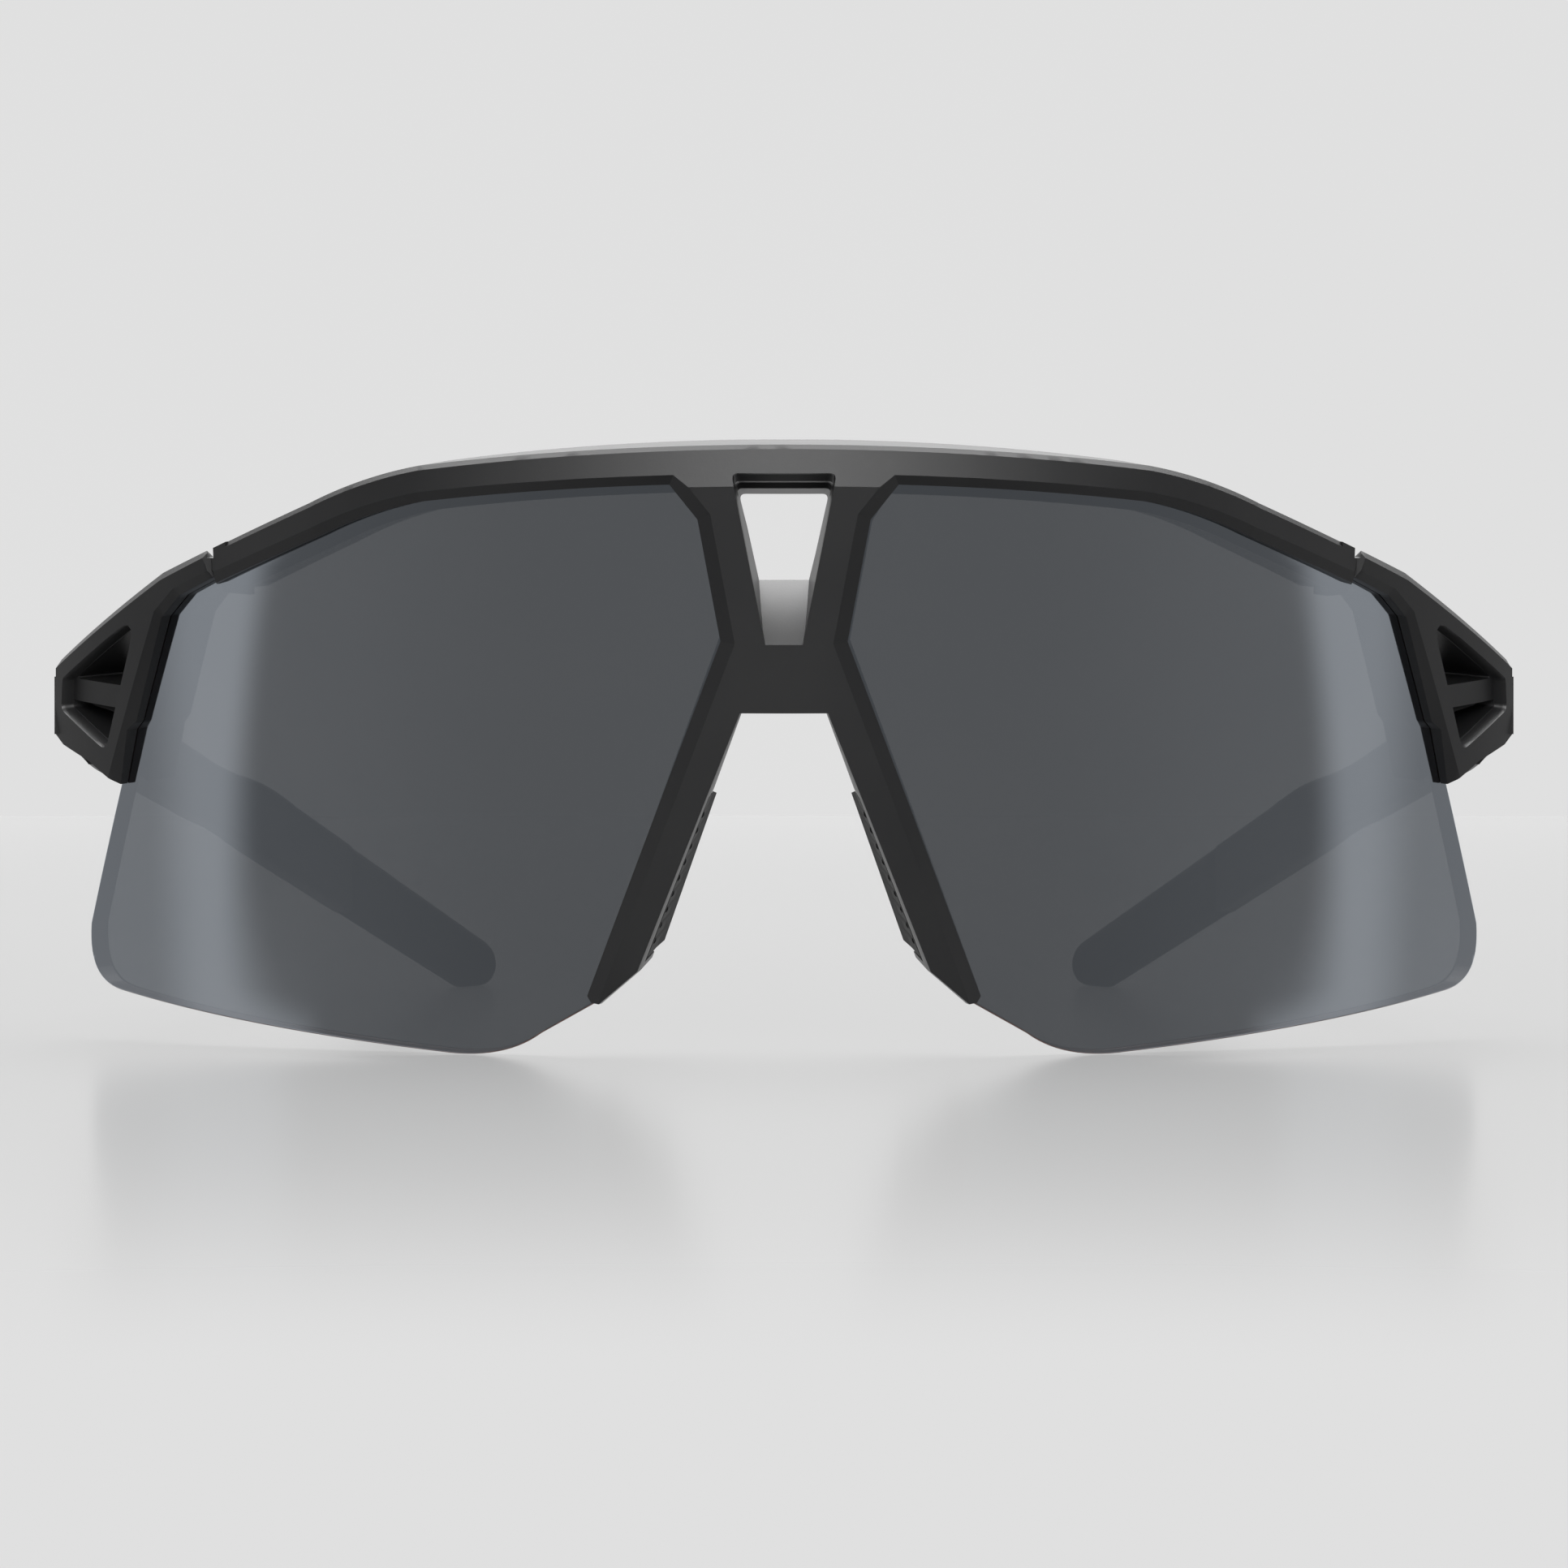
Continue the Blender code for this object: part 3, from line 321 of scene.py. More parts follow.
def satin_plastic():
    """Black moulded nylon: a fine spark-eroded grain, and patches a touch glossier from handling."""
    material, graph, place = finish_graph("satin_plastic")
    grain = noise(graph, place, 5.0, 3.0, 0.6)
    patch = noise(graph, place, 0.06, 3.0, 0.55)
    speck = noise(graph, place, 1.3, 2.0)
    shade = graph.mixed(patch.rise(0.3, 0.7), (0.0068, 0.0068, 0.0074, 1), (0.0092, 0.0092, 0.0096, 1))
    shade = graph.mixed(speck.rise(0.62, 0.8) * 0.25, shade, (0.018, 0.018, 0.019, 1))
    sockets = {
        "Base Color": shade,
        "Roughness": 0.40 + patch * 0.06 - speck * 0.03,
        "Normal": bump(graph, grain, 0.010, 0.5),
        "IOR": 1.5,
    }
    close(graph, graph.node("ShaderNodeBsdfPrincipled", None, sockets))
    return material


def mirror_coat():
    """Silver-grey flash mirror, with a faint haze of handling."""
    material, graph, place = finish_graph("mirror_coat")
    haze = noise(graph, place, 0.05, 4.0, 0.6)
    streak = noise(graph, place, 0.4, 3.0, 0.6)
    shade = graph.mixed(haze.rise(0.3, 0.7), (0.393, 0.430, 0.478, 1), (0.408, 0.442, 0.488, 1))
    sockets = {
        "Base Color": shade,
        "Metallic": 1.0,
        "Roughness": 0.055 + haze * 0.02 + streak * 0.012,
        "Alpha": 0.93,
    }
    close(graph, graph.node("ShaderNodeBsdfPrincipled", None, sockets))
    return material


def tinted_body():
    """The lens behind its mirror: smoke-tinted polycarbonate, browner in its cut edge."""
    material, graph, place = finish_graph("tinted_body")
    haze = noise(graph, place, 0.08, 3.0)
    shade = graph.mixed(haze.rise(0.3, 0.7), (0.020, 0.014, 0.012, 1), (0.030, 0.019, 0.016, 1))
    sockets = {"Base Color": shade, "Roughness": 0.05 + haze * 0.04, "Alpha": 0.42, "IOR": 1.58}
    close(graph, graph.node("ShaderNodeBsdfPrincipled", None, sockets))
    return material


def lens_rim():
    """The polished cut edge of the lens."""
    material, graph, place = finish_graph("lens_rim")
    haze = noise(graph, place, 0.5, 3.0)
    shade = graph.mixed(haze.rise(0.3, 0.7), (0.055, 0.022, 0.016, 1), (0.090, 0.036, 0.026, 1))
    sockets = {"Base Color": shade, "Roughness": 0.18 + haze * 0.1, "IOR": 1.58}
    close(graph, graph.node("ShaderNodeBsdfPrincipled", None, sockets))
    return material


def soft_rubber():
    """Matt black rubber with a fine grain."""
    material, graph, place = finish_graph("soft_rubber")
    grain = noise(graph, place, 3.0, 4.0, 0.65)
    patch = noise(graph, place, 0.12, 3.0)
    shade = graph.mixed(patch.rise(0.3, 0.7), (0.0030, 0.0030, 0.0033, 1), (0.0052, 0.0052, 0.0052, 1))
    sockets = {
        "Base Color": shade,
        "Roughness": 0.62 + patch * 0.14,
        "Normal": bump(graph, grain, 0.02, 0.6),
        "IOR": 1.45,
    }
    close(graph, graph.node("ShaderNodeBsdfPrincipled", None, sockets))
    return material


def turned_metal(name, dark, light, roughness):
    """Turned metal: fine rings of the tool round an upright axis, and a slight tarnish."""
    material, graph, place = finish_graph(name)
    rings = noise(graph, graph.wire(
        "ShaderNodeVectorMath", {"operation": "MULTIPLY"}, {0: place, 1: (0.15, 0.15, 1.0)}
    ), 9.0, 2.0)
    tarnish = noise(graph, place, 0.5, 4.0, 0.6)
    sockets = {
        "Base Color": graph.mixed(tarnish.rise(0.35, 0.75), light, dark),
        "Metallic": 1.0,
        "Roughness": roughness + tarnish * 0.12 + rings * 0.06,
        "Normal": bump(graph, rings, 0.006, 0.5),
    }
    close(graph, graph.node("ShaderNodeBsdfPrincipled", None, sockets))
    return material


# ---- Outlines ------------------------------------------------------------------------------------


def quad(start, lean, end, steps=CURVE_STEPS):
    """Points of a quadratic curve from start to end that leans towards lean, both ends included."""
    points = []
    for i in range(steps + 1):
        f = i / steps
        a, b, c = (1 - f) ** 2, 2 * f * (1 - f), f * f
        points.append((a * start[0] + b * lean[0] + c * end[0], a * start[1] + b * lean[1] + c * end[1]))
    return points


def area(points):
    total = 0.0
    for (x0, y0), (x1, y1) in zip(points, points[1:] + points[:1]):
        total += x0 * y1 - x1 * y0
    return total / 2


def inset(points, distance):
    """The closed outline moved inwards by distance, with mitred corners. distance may be one per point."""
    turn = 1 if area(points) > 0 else -1
    each = distance if isinstance(distance, list) else [distance] * len(points)
    moved = []
    for i, here in enumerate(points):
        before = Vector(here) - Vector(points[i - 1])
        after = Vector(points[(i + 1) % len(points)]) - Vector(here)
        n0 = Vector((-before.y, before.x)).normalized() * turn
        n1 = Vector((-after.y, after.x)).normalized() * turn
        middle = (n0 + n1).normalized()
        reach = each[i] / max(middle.dot(n0), 0.5)
        moved.append((here[0] + middle.x * reach, here[1] + middle.y * reach))
    return moved


def eased(points, radii, steps=5):
    """The closed outline with the corners in radii, {index: radius}, rounded."""
    line = []
    for i, here in enumerate(points):
        if i not in radii:
            line.append(tuple(here))
            continue
        corner = Vector(here)
        before = (Vector(points[i - 1]) - corner).normalized()
        after = (Vector(points[(i + 1) % len(points)]) - corner).normalized()
        half = before.angle(after) / 2
        reach = radii[i] / math.tan(half)
        line += quad(tuple(corner + before * reach), tuple(corner), tuple(corner + after * reach), steps)
    return line


def along(points, depths):
    """The open line with each point moved to its right by its own depth: downwards, where it runs to +u."""
    moved = []
    for i, (here, depth) in enumerate(zip(points, depths)):
        first = points[max(i - 1, 0)]
        last = points[min(i + 1, len(points) - 1)]
        run = (Vector(last) - Vector(first)).normalized()
        moved.append((here[0] + run.y * depth, here[1] - run.x * depth))
    return moved


def both_halves(points):
    """A closed outline from its right half, which runs from the top centre round to the foot centre."""
    left = [(-u, v) for u, v in reversed(points) if u > 0]
    return points + left


# ---- Solids --------------------------------------------------------------------------------------


def new_object(name, mesh):
    obj = bpy.data.objects.new(name, mesh)
    bpy.context.scene.collection.objects.link(obj)
    return obj


def loft(name, layers, place):
    """A closed solid through outlines of equal length. layers is [(level, outline), ...]."""
    bm = bmesh.new()
    rings = []
    for level, outline in layers:
        rings.append([bm.verts.new(Vector(place(a, b, level)) * MM) for a, b in outline])
    for low, high in zip(rings, rings[1:]):
        for i in range(len(low)):
            j = (i + 1) % len(low)
            bm.faces.new((low[i], low[j], high[j], high[i]))
    bm.faces.new(list(reversed(rings[0])))
    bm.faces.new(rings[-1])
    bmesh.ops.remove_doubles(bm, verts=bm.verts, dist=0.001 * MM)
    bmesh.ops.recalc_face_normals(bm, faces=bm.faces)
    mesh = bpy.data.meshes.new(name)
    bm.to_mesh(mesh)
    bm.free()
    return new_object(name, mesh)


def in_front(u, v, w):
    return (u, -w, v)


def in_plan(s, t, z):
    return (s, t, z)


def drum(name, radius, low, high, centre, sides=ROUND_SIDES, axis="Z"):
    """A cylinder between two levels on an axis through centre, given as the other two coordinates."""
    bm = bmesh.new()
    bmesh.ops.create_cone(
        bm, cap_ends=True, segments=sides, radius1=radius * MM, radius2=radius * MM, depth=(high - low) * MM
    )
    middle = (low + high) / 2
    if axis == "Z":
        place = Matrix.Translation(Vector((centre[0], centre[1], middle)) * MM)
    else:
        turn = Matrix.Rotation(math.radians(90), 4, "X")
        place = Matrix.Translation(Vector((centre[0], middle, centre[1])) * MM) @ turn
    bmesh.ops.transform(bm, matrix=place, verts=bm.verts)
    mesh = bpy.data.meshes.new(name)
    bm.to_mesh(mesh)
    bm.free()
    return new_object(name, mesh)


def bake(obj):
    """Puts the evaluated mesh in place of the object's own, and drops the modifiers."""
    graph = bpy.context.evaluated_depsgraph_get()
    mesh = bpy.data.meshes.new_from_object(obj.evaluated_get(graph))
    obj.modifiers.clear()
    old = obj.data
    obj.data = mesh
    bpy.data.meshes.remove(old)


def combine(obj, others, operation):
    for other in others:
        boolean = obj.modifiers.new(operation.lower(), "BOOLEAN")
        boolean.operation = operation
        boolean.object = other
        boolean.solver = "EXACT"
        bake(obj)
        bpy.data.objects.remove(other, do_unlink=True)


def cut(obj, *others):
    combine(obj, others, "DIFFERENCE")


def join(obj, *others):
    combine(obj, others, "UNION")


def tidy_faces(obj):
    """Merges points that lie together and dissolves the seams inside flat faces."""
    bm = bmesh.new()
    bm.from_mesh(obj.data)
    bmesh.ops.remove_doubles(bm, verts=bm.verts, dist=0.01 * MM)
    bmesh.ops.dissolve_limit(bm, angle_limit=math.radians(0.3), verts=bm.verts, edges=bm.edges)
    bm.to_mesh(obj.data)
    bm.free()


def soften(obj, width, segments=2, angle=28.0):
    """Rounds every edge sharper than angle."""
    bevel = obj.modifiers.new("edges", "BEVEL")
    bevel.width = width * MM
    bevel.segments = segments
    bevel.limit_method = "ANGLE"
    bevel.angle_limit = math.radians(angle)
    bevel.use_clamp_overlap = True
    bake(obj)


def slice_rows(obj):
    """Cuts a tall flat face into level rows, so that it shades evenly once bent."""
    bm = bmesh.new()
    bm.from_mesh(obj.data)
    for i in range(1, 14):
        geometry = bm.verts[:] + bm.edges[:] + bm.faces[:]
        bmesh.ops.bisect_plane(
            bm, geom=geometry, dist=0.001 * MM, plane_co=(0, 0, 4.07 * i * MM), plane_no=(0, 0, 1)
        )
    bm.to_mesh(obj.data)
    bm.free()


def slice_along(obj, steps):
    """Cuts the flat solid across at each step, so that it can bend there."""
    bm = bmesh.new()
    bm.from_mesh(obj.data)
    for x in steps:
        bmesh.ops.bisect_plane(
            bm,
            geom=bm.verts[:] + bm.edges[:] + bm.faces[:],
            dist=0.001 * MM,
            plane_co=(x * MM, 0, 0),
            plane_no=(1, 0, 0),
        )
    bm.to_mesh(obj.data)
    bm.free()


def smooth(obj, angle=32.0):
    """Smooth shading with face-weighted normals, kept sharp past angle."""
    obj.data.shade_smooth()
    obj.data.set_sharp_from_angle(angle=math.radians(angle))
    weighted = obj.modifiers.new("normals", "WEIGHTED_NORMAL")
    weighted.keep_sharp = True
    weighted.weight = 60
    bake(obj)


def face_outwards(obj):
    """Turns a closed solid's faces over when they look inwards."""
    bm = bmesh.new()
    bm.from_mesh(obj.data)
    if bm.calc_volume(signed=True) < 0:
        bmesh.ops.reverse_faces(bm, faces=bm.faces)
        bm.to_mesh(obj.data)
    bm.free()


def mirrored(obj, name):
    """The other side's copy of a right-hand piece."""
    mesh = obj.data.copy()
    mesh.name = name
    bm = bmesh.new()
    bm.from_mesh(mesh)
    for vertex in bm.verts:
        vertex.co.x = -vertex.co.x
    bmesh.ops.reverse_faces(bm, faces=bm.faces)
    bm.to_mesh(mesh)
    bm.free()
    if "custom_normal" in mesh.attributes:
        mesh.attributes.remove(mesh.attributes["custom_normal"])
    return new_object(name, mesh)


def both_sides(make):
    right = make()
    return [right, mirrored(right, right.name + "_other")]


# ---- The bends, as node trees ------------------------------------------------------------------------


def tree_with(name, inputs):
    tree = bpy.data.node_groups.new(name, "GeometryNodeTree")
    tree.interface.new_socket("Geometry", in_out="INPUT", socket_type="NodeSocketGeometry")
    for label, kind in inputs:
        tree.interface.new_socket(label, in_out="INPUT", socket_type=kind)
    tree.interface.new_socket("Geometry", in_out="OUTPUT", socket_type="NodeSocketGeometry")
    graph = Graph(tree)
    entry = graph.node("NodeGroupInput")
    given = {socket.name: Wire(graph, socket) for socket in entry.outputs if socket.name}
    return tree, graph, given


def close_tree(graph, geometry, material):
    solid = graph.wire("GeometryNodeRealizeInstances", None, {"Geometry": geometry})
    coated = graph.wire("GeometryNodeSetMaterial", None, {"Geometry": solid, "Material": material})
    graph.node("NodeGroupOutput", None, {"Geometry": coated})


def front_bend_tree():
    """Bends the flat front round the lens cylinder and tips it forwards."""
    floats = ["Lens radius", "Tilt", "Foot drop", "Setback"]
    tree, graph, given = tree_with(
        "front_bend", [(label, "NodeSocketFloat") for label in floats] + [("Finish", "NodeSocketMaterial")]
    )
    x, y, z = graph.parts(graph.wire("GeometryNodeInputPosition"))
    reach = given["Lens radius"] - y
    angle = x / given["Lens radius"]
    depth = given["Lens radius"] - reach * angle.cosine()
    lean_cos, lean_sin = given["Tilt"].cosine(), given["Tilt"].sine()
    sockets = {
        "X": reach * angle.sine(),
        "Y": depth * lean_cos - z * lean_sin + given["Setback"],
        "Z": depth * lean_sin + z * lean_cos - given["Foot drop"],
    }
    moved = graph.wire("ShaderNodeCombineXYZ", None, sockets)
    placed = graph.wire("GeometryNodeSetPosition", None, {"Geometry": given["Geometry"], "Position": moved})
    close_tree(graph, placed, given["Finish"])
    return tree


def temple_bend_tree():
    """Lays the flat temple from its hinge: straight, an arc inwards, then straight again."""
    floats = ["Splay", "Bend", "Straight", "Bend length", "Root X", "Root Y"]
    tree, graph, given = tree_with(
        "temple_bend", [(label, "NodeSocketFloat") for label in floats] + [("Finish", "NodeSocketMaterial")]
    )
    x, y, z = graph.parts(graph.wire("GeometryNodeInputPosition"))
    length = given["Bend length"]
    start = given["Straight"] - length * 0.5
    radius = length / given["Bend"]
    on_arc = (x - start).math("MINIMUM", (x - start).math("MAXIMUM", x - start, 0.0), length)
    angle = given["Splay"] + on_arc / radius
    straight = x.math("MINIMUM", x, start)
    after = x.math("MAXIMUM", x - start - length, 0.0)
    turn_cos, turn_sin = given["Splay"].cosine(), given["Splay"].sine()
    sockets = {
        "X": given["Root X"] - straight * turn_sin - radius * (turn_cos - angle.cosine())
        + y * angle.cosine() - after * angle.sine(),
        "Y": given["Root Y"] + straight * turn_cos + radius * (angle.sine() - turn_sin)
        + y * angle.sine() + after * angle.cosine(),
        "Z": z,
    }
    moved = graph.wire("ShaderNodeCombineXYZ", None, sockets)
    placed = graph.wire("GeometryNodeSetPosition", None, {"Geometry": given["Geometry"], "Position": moved})
    close_tree(graph, placed, given["Finish"])
    return tree


def run_tree(obj, tree, values):
    """Gives obj the tree's result as a plain mesh."""
    modifier = obj.modifiers.new(tree.name, "NODES")
    modifier.node_group = tree
    for item in tree.interface.items_tree:
        if item.in_out == "INPUT" and item.name in values:
            modifier[item.identifier] = values[item.name]
    bake(obj)


def tilted(x, y, z):
    """The front bend for one point, in millimetres, before it is set back."""
    reach = LENS_RADIUS - y
    angle = x / LENS_RADIUS
    depth = LENS_RADIUS - reach * math.cos(angle)
    return (
        reach * math.sin(angle),
        depth * math.cos(LENS_TILT) - z * math.sin(LENS_TILT),
        depth * math.sin(LENS_TILT) + z * math.cos(LENS_TILT) - LENS_FOOT,
    )


def joint_place(name):
    return Vector([j for j in frame["joints"] if j["name"] == name][0]["pos_m"]) / MM


def temple_root():
    """The temple's outer face at its hinge end, and the height of its top edge there."""
    j = BROW_HALF_LENGTH + ENDPIECE_LENGTH
    x, y, z = tilted(j, -FRONT_PROUD, BROW_TOP - BROW_END_DROP - FACET_DROP)
    return x, y + HINGE_SETBACK, z - TEMPLE_ROOT_DROP


ROOT_X, ROOT_Y, ROOT_TOP = temple_root()
HINGE = joint_place("temple_fold_right")
SETBACK = HINGE.y - (ROOT_Y - HINGE_INSET * math.sin(TEMPLE_SPLAY))


def front_steps():
    reach = BROW_HALF_LENGTH + ENDPIECE_LENGTH + WRAP_STEP
    count = int(2 * reach / WRAP_STEP)
    return [(i - count / 2) * WRAP_STEP + 0.013 for i in range(count + 1)]


def wrap(obj, finish):
    slice_along(obj, front_steps())
    values = {"Lens radius": LENS_RADIUS * MM, "Tilt": LENS_TILT, "Foot drop": LENS_FOOT * MM}
    values["Setback"] = SETBACK * MM
    values["Finish"] = finish
    run_tree(obj, TREES["front"], values)


def lay_temple(obj, finish, steps=()):
    slice_along(obj, steps)
    values = {"Splay": TEMPLE_SPLAY, "Bend": TEMPLE_BEND, "Straight": TEMPLE_STRAIGHT * MM}
    values["Bend length"] = TEMPLE_BEND_LENGTH * MM
    values["Root X"] = ROOT_X * MM
    values["Root Y"] = (ROOT_Y + SETBACK) * MM
    values["Finish"] = finish
    run_tree(obj, TREES["temple"], values)
    face_outwards(obj)


# ---- Front outlines --------------------------------------------------------------------------------


def brow_line(depth, run=0.0):
    """The brow's top edge from the centre to the joint and run beyond it, moved down by depth."""
    end = (BROW_HALF_LENGTH, BROW_TOP - BROW_END_DROP)
    shoulder = (end[0] - SHOULDER_RUN, end[1] + SHOULDER_RUN * BROW_SLOPE)
    kink = (shoulder[0] - KINK_RUN, BROW_TOP - KINK_DROP)
    lean_u = (kink[0] + shoulder[0]) / 2
    lean = (lean_u, kink[1] - 0.2 * (lean_u - kink[0]))
    line = quad((0, BROW_TOP), (kink[0] / 2, BROW_TOP), kink)
    line += quad(kink, lean, shoulder)[1:]
    line.append((end[0] + run, end[1] - run * BROW_SLOPE))
    if depth == 0:
        return line
    return along(line, [depth - BAR_TAPER * u / end[0] for u, _ in line])


def joint_foot(depth, gap=0.0):
    """Where the joint's slanted face meets the bar's lower edge, gap beyond the brow's own face."""
    deep = depth - BAR_TAPER
    end_v = BROW_TOP - BROW_END_DROP
    return (BROW_HALF_LENGTH + gap - JOINT_SLANT * deep, end_v - deep - gap * BROW_SLOPE)


def arm_direction():
    return Vector((ARM_TIP_U - WAIST_U, ARM_TIP_V - WAIST_V)).normalized()


def beyond(line, u):
    """The part of the line past u, starting on it."""
    kept = [p for p in line if p[0] > u + 0.5]
    index = line.index(kept[0])
    a, b = line[index - 1], line[index]
    f = (u - a[0]) / (b[0] - a[0])
    return [(u, a[1] + f * (b[1] - a[1]))] + kept


def corner():
    return (CORNER_U, BROW_TOP - CORNER_DROP)


def arm_inner_line():
    """The nose side of the arm: from under the arch to the start of the tip's slanted foot."""
    run = arm_direction()
    across = Vector((run.y, -run.x))
    foot = Vector((ARM_TIP_U, ARM_TIP_V)) - run * ARM_FOOT_RUN + across * ARM_WIDTH
    return (ARCH_HALF, BRIDGE_FOOT_V), (foot.x, foot.y)


def front_outline():
    """The whole front as seen from the back: the rear lip hangs below the lens edge."""
    brow = brow_line(0)
    lip = beyond(brow_line(BAR_HEIGHT + REAR_LIP_EXTRA), CORNER_TOP_U - 0.6)
    top, foot = arm_inner_line()
    right = brow[1:]
    right += list(reversed(lip[:-1] + [joint_foot(BAR_HEIGHT + REAR_LIP_EXTRA)]))
    right.append((corner()[0] + ARM_LIP_EXTRA, corner()[1] - 0.3))
    right.append((WAIST_U + ARM_LIP_EXTRA, WAIST_V))
    right.append((ARM_TIP_U + ARM_LIP_EXTRA, ARM_TIP_V))
    right.append((ARM_TIP_U - 0.3, ARM_TIP_V - 0.9))
    right.append((ARM_TIP_U - 1.2, ARM_TIP_V - 1.0))
    right += [foot, top]
    return both_halves([brow[0]] + right)


def lens_outline():
    top = beyond(brow_line(BAR_HEIGHT - LENS_BITE, run=4.8), CORNER_TOP_U + 0.5)
    run = arm_direction()
    bite = Vector((run.y, -run.x)) * LENS_BITE
    waist = Vector((WAIST_U, WAIST_V)) + bite
    tip = Vector((ARM_TIP_U, ARM_TIP_V)) + bite - run * 0.6
    nose = Vector(corner()) + Vector((-LENS_BITE * 0.98, 0.35))
    outer_top = (BROW_HALF_LENGTH + 8.1, BROW_TOP - BROW_END_DROP - 6.6)
    outer_foot = (BROW_HALF_LENGTH + 21.6, 7.2)
    points = list(top)
    points += [outer_top]
    points += quad(outer_foot, (BROW_HALF_LENGTH + 22.6, 1.3), (BROW_HALF_LENGTH + 16.3, 1.1))
    points += quad((33.0, -0.15), (26.5, -0.5), (22.9, 2.3))
    points += [(tip.x + 0.75, tip.y - 1.0), (tip.x, tip.y)]
    points += [(waist.x, waist.y), (nose.x, nose.y)]
    return points


def front_opening(depth, overhang):
    """The space in front of the right lens that the front and its arm leave open."""
    top = beyond(brow_line(BAR_HEIGHT + depth, run=3.0), CORNER_TOP_U)
    run = arm_direction()
    tip = Vector((ARM_TIP_U, ARM_TIP_V)) + run * overhang
    far = BROW_HALF_LENGTH + 6
    points = list(top)
    points += [(far, top[-1][1]), (far, tip.y), (tip.x, tip.y)]
    points += [(WAIST_U, WAIST_V), corner()]
    return points


def endpiece_outer():
    j = BROW_HALF_LENGTH
    top = BROW_TOP - BROW_END_DROP
    return [
        (j + JOINT_GAP, top - 0.15),
        (j + 7.0, top - 2.9),
        (j + 24.4, top - 12.9),
        (j + ENDPIECE_LENGTH, top - FACET_DROP + 0.75),
        (j + ENDPIECE_LENGTH + 0.2, top - FACET_DROP - OUTER_FACET),
        (j + 23.4, top - 21.5),
        (j + 18.7, top - 22.6),
        (j + 14.3, top - 24.2),
    ]


def endpiece_inner(depth):
    """The lens side of the end piece's front lip, from its foot up to the joint; depth widens the lip."""
    j = BROW_HALF_LENGTH
    top = BROW_TOP - BROW_END_DROP
    line = [joint_foot(BAR_HEIGHT), (j + 4.2, top - 5.3), (j + 6.6, top - 7.4), (j + 14.2, top - 24.1)]
    line = along(line, [depth] * len(line))
    line[0] = joint_foot(BAR_HEIGHT + depth, JOINT_GAP)
    return list(reversed(line))


# ---- Front pieces ----------------------------------------------------------------------------------


def plate(name, outline, back, front, chamfer=0.0, front_chamfer=None):
    """A flat solid in the front layout. front_chamfer may be a list with one width for each point."""
    if not chamfer:
        return loft(name, [(back, outline), (front, outline)], in_front)
    ahead = front_chamfer or [chamfer] * len(outline)
    layers = [(back, inset(outline, chamfer)), (back + chamfer, outline)]
    layers += [(front - max(ahead), outline), (front, inset(outline, ahead))]
    return loft(name, layers, in_front)


def groove(clearance):
    back = -LENS_THICKNESS - CLEARANCE
    return plate("groove", inset(lens_outline(), -clearance), back, LENS_SEAT)


def lip_cutter(opening):
    """Opens the front lip, with the sloping face that runs down to the lens."""
    flare = LIP_CHAMFER / (FRONT_PROUD - LIP_EDGE)
    layers = [
        (-1.0, opening),
        (LIP_EDGE, opening),
        (FRONT_PROUD + 1.0, inset(opening, -flare * (FRONT_PROUD + 1.0 - LIP_EDGE))),
    ]
    return loft("lip", layers, in_front)


def lean_cutter():
    """Leans the brow's front face back above the crease that crosses the struts."""
    slope = LEAN_DROP / LEAN_DEPTH
    ahead = (FRONT_PROUD + 1, LEAN_DROP + slope)
    behind = (FRONT_PROUD - 1.2 * LEAN_DEPTH, -0.2 * LEAN_DROP)
    layers = []
    for level, depth in (ahead, behind):
        lower = brow_line(depth)
        upper = brow_line(-4.0)
        far = BROW_HALF_LENGTH + 4
        right = upper[1:] + [(far, upper[-1][1]), (far, lower[-1][1])]
        right += list(reversed(lower[1:])) + [lower[0]]
        layers.append((level, both_halves([upper[0]] + right)))
    return loft("lean", layers, in_front)


def window_cutter():
    """The window between the struts: drafted walls, eased corners, a lintel that is lower at the back."""
    top = BROW_TOP - WINDOW_TOP_DROP
    foot = BRIDGE_FOOT_V + WINDOW_FOOT_RAISE
    ease = {0: 0.5, 3: 0.5}

    def outline(top_half, top_v, foot_half, foot_v):
        return eased([(top_half, top_v), (foot_half, foot_v), (-foot_half, foot_v), (-top_half, top_v)], ease)

    def ramp(level):
        return foot + WINDOW_RAMP * (FRONT_PROUD - level) / (FRONT_PROUD + FRONT_BACK)

    layers = []
    for level, top_half, drop, foot_half in WINDOW_LEVELS:
        layers.append((level, outline(top_half, top - drop, foot_half, ramp(level))))
    return loft("window", layers, in_front)


def pivot():
    return (BROW_HALF_LENGTH + PIVOT_RUN, BROW_TOP - BROW_END_DROP - PIVOT_DROP)


def make_tongue():
    u, v = pivot()
    arc = [(u + TONGUE_RADIUS * math.sin(a), v + TONGUE_RADIUS * math.cos(a))
           for a in [math.pi * i / 12 for i in range(13)]]
    inner = BROW_HALF_LENGTH - 2.5
    outline = [(inner, v + TONGUE_RADIUS)] + arc + [(inner, v - TONGUE_RADIUS)]
    return plate("tongue", outline, -TONGUE_BACK, -TONGUE_FRONT)


def joint_reach(level, past=0.0):
    """Where the joint's face lies at a level: it runs straight back, so its place shifts along the curve."""
    return BROW_HALF_LENGTH + past + JOINT_DRIFT * (FRONT_PROUD - level)


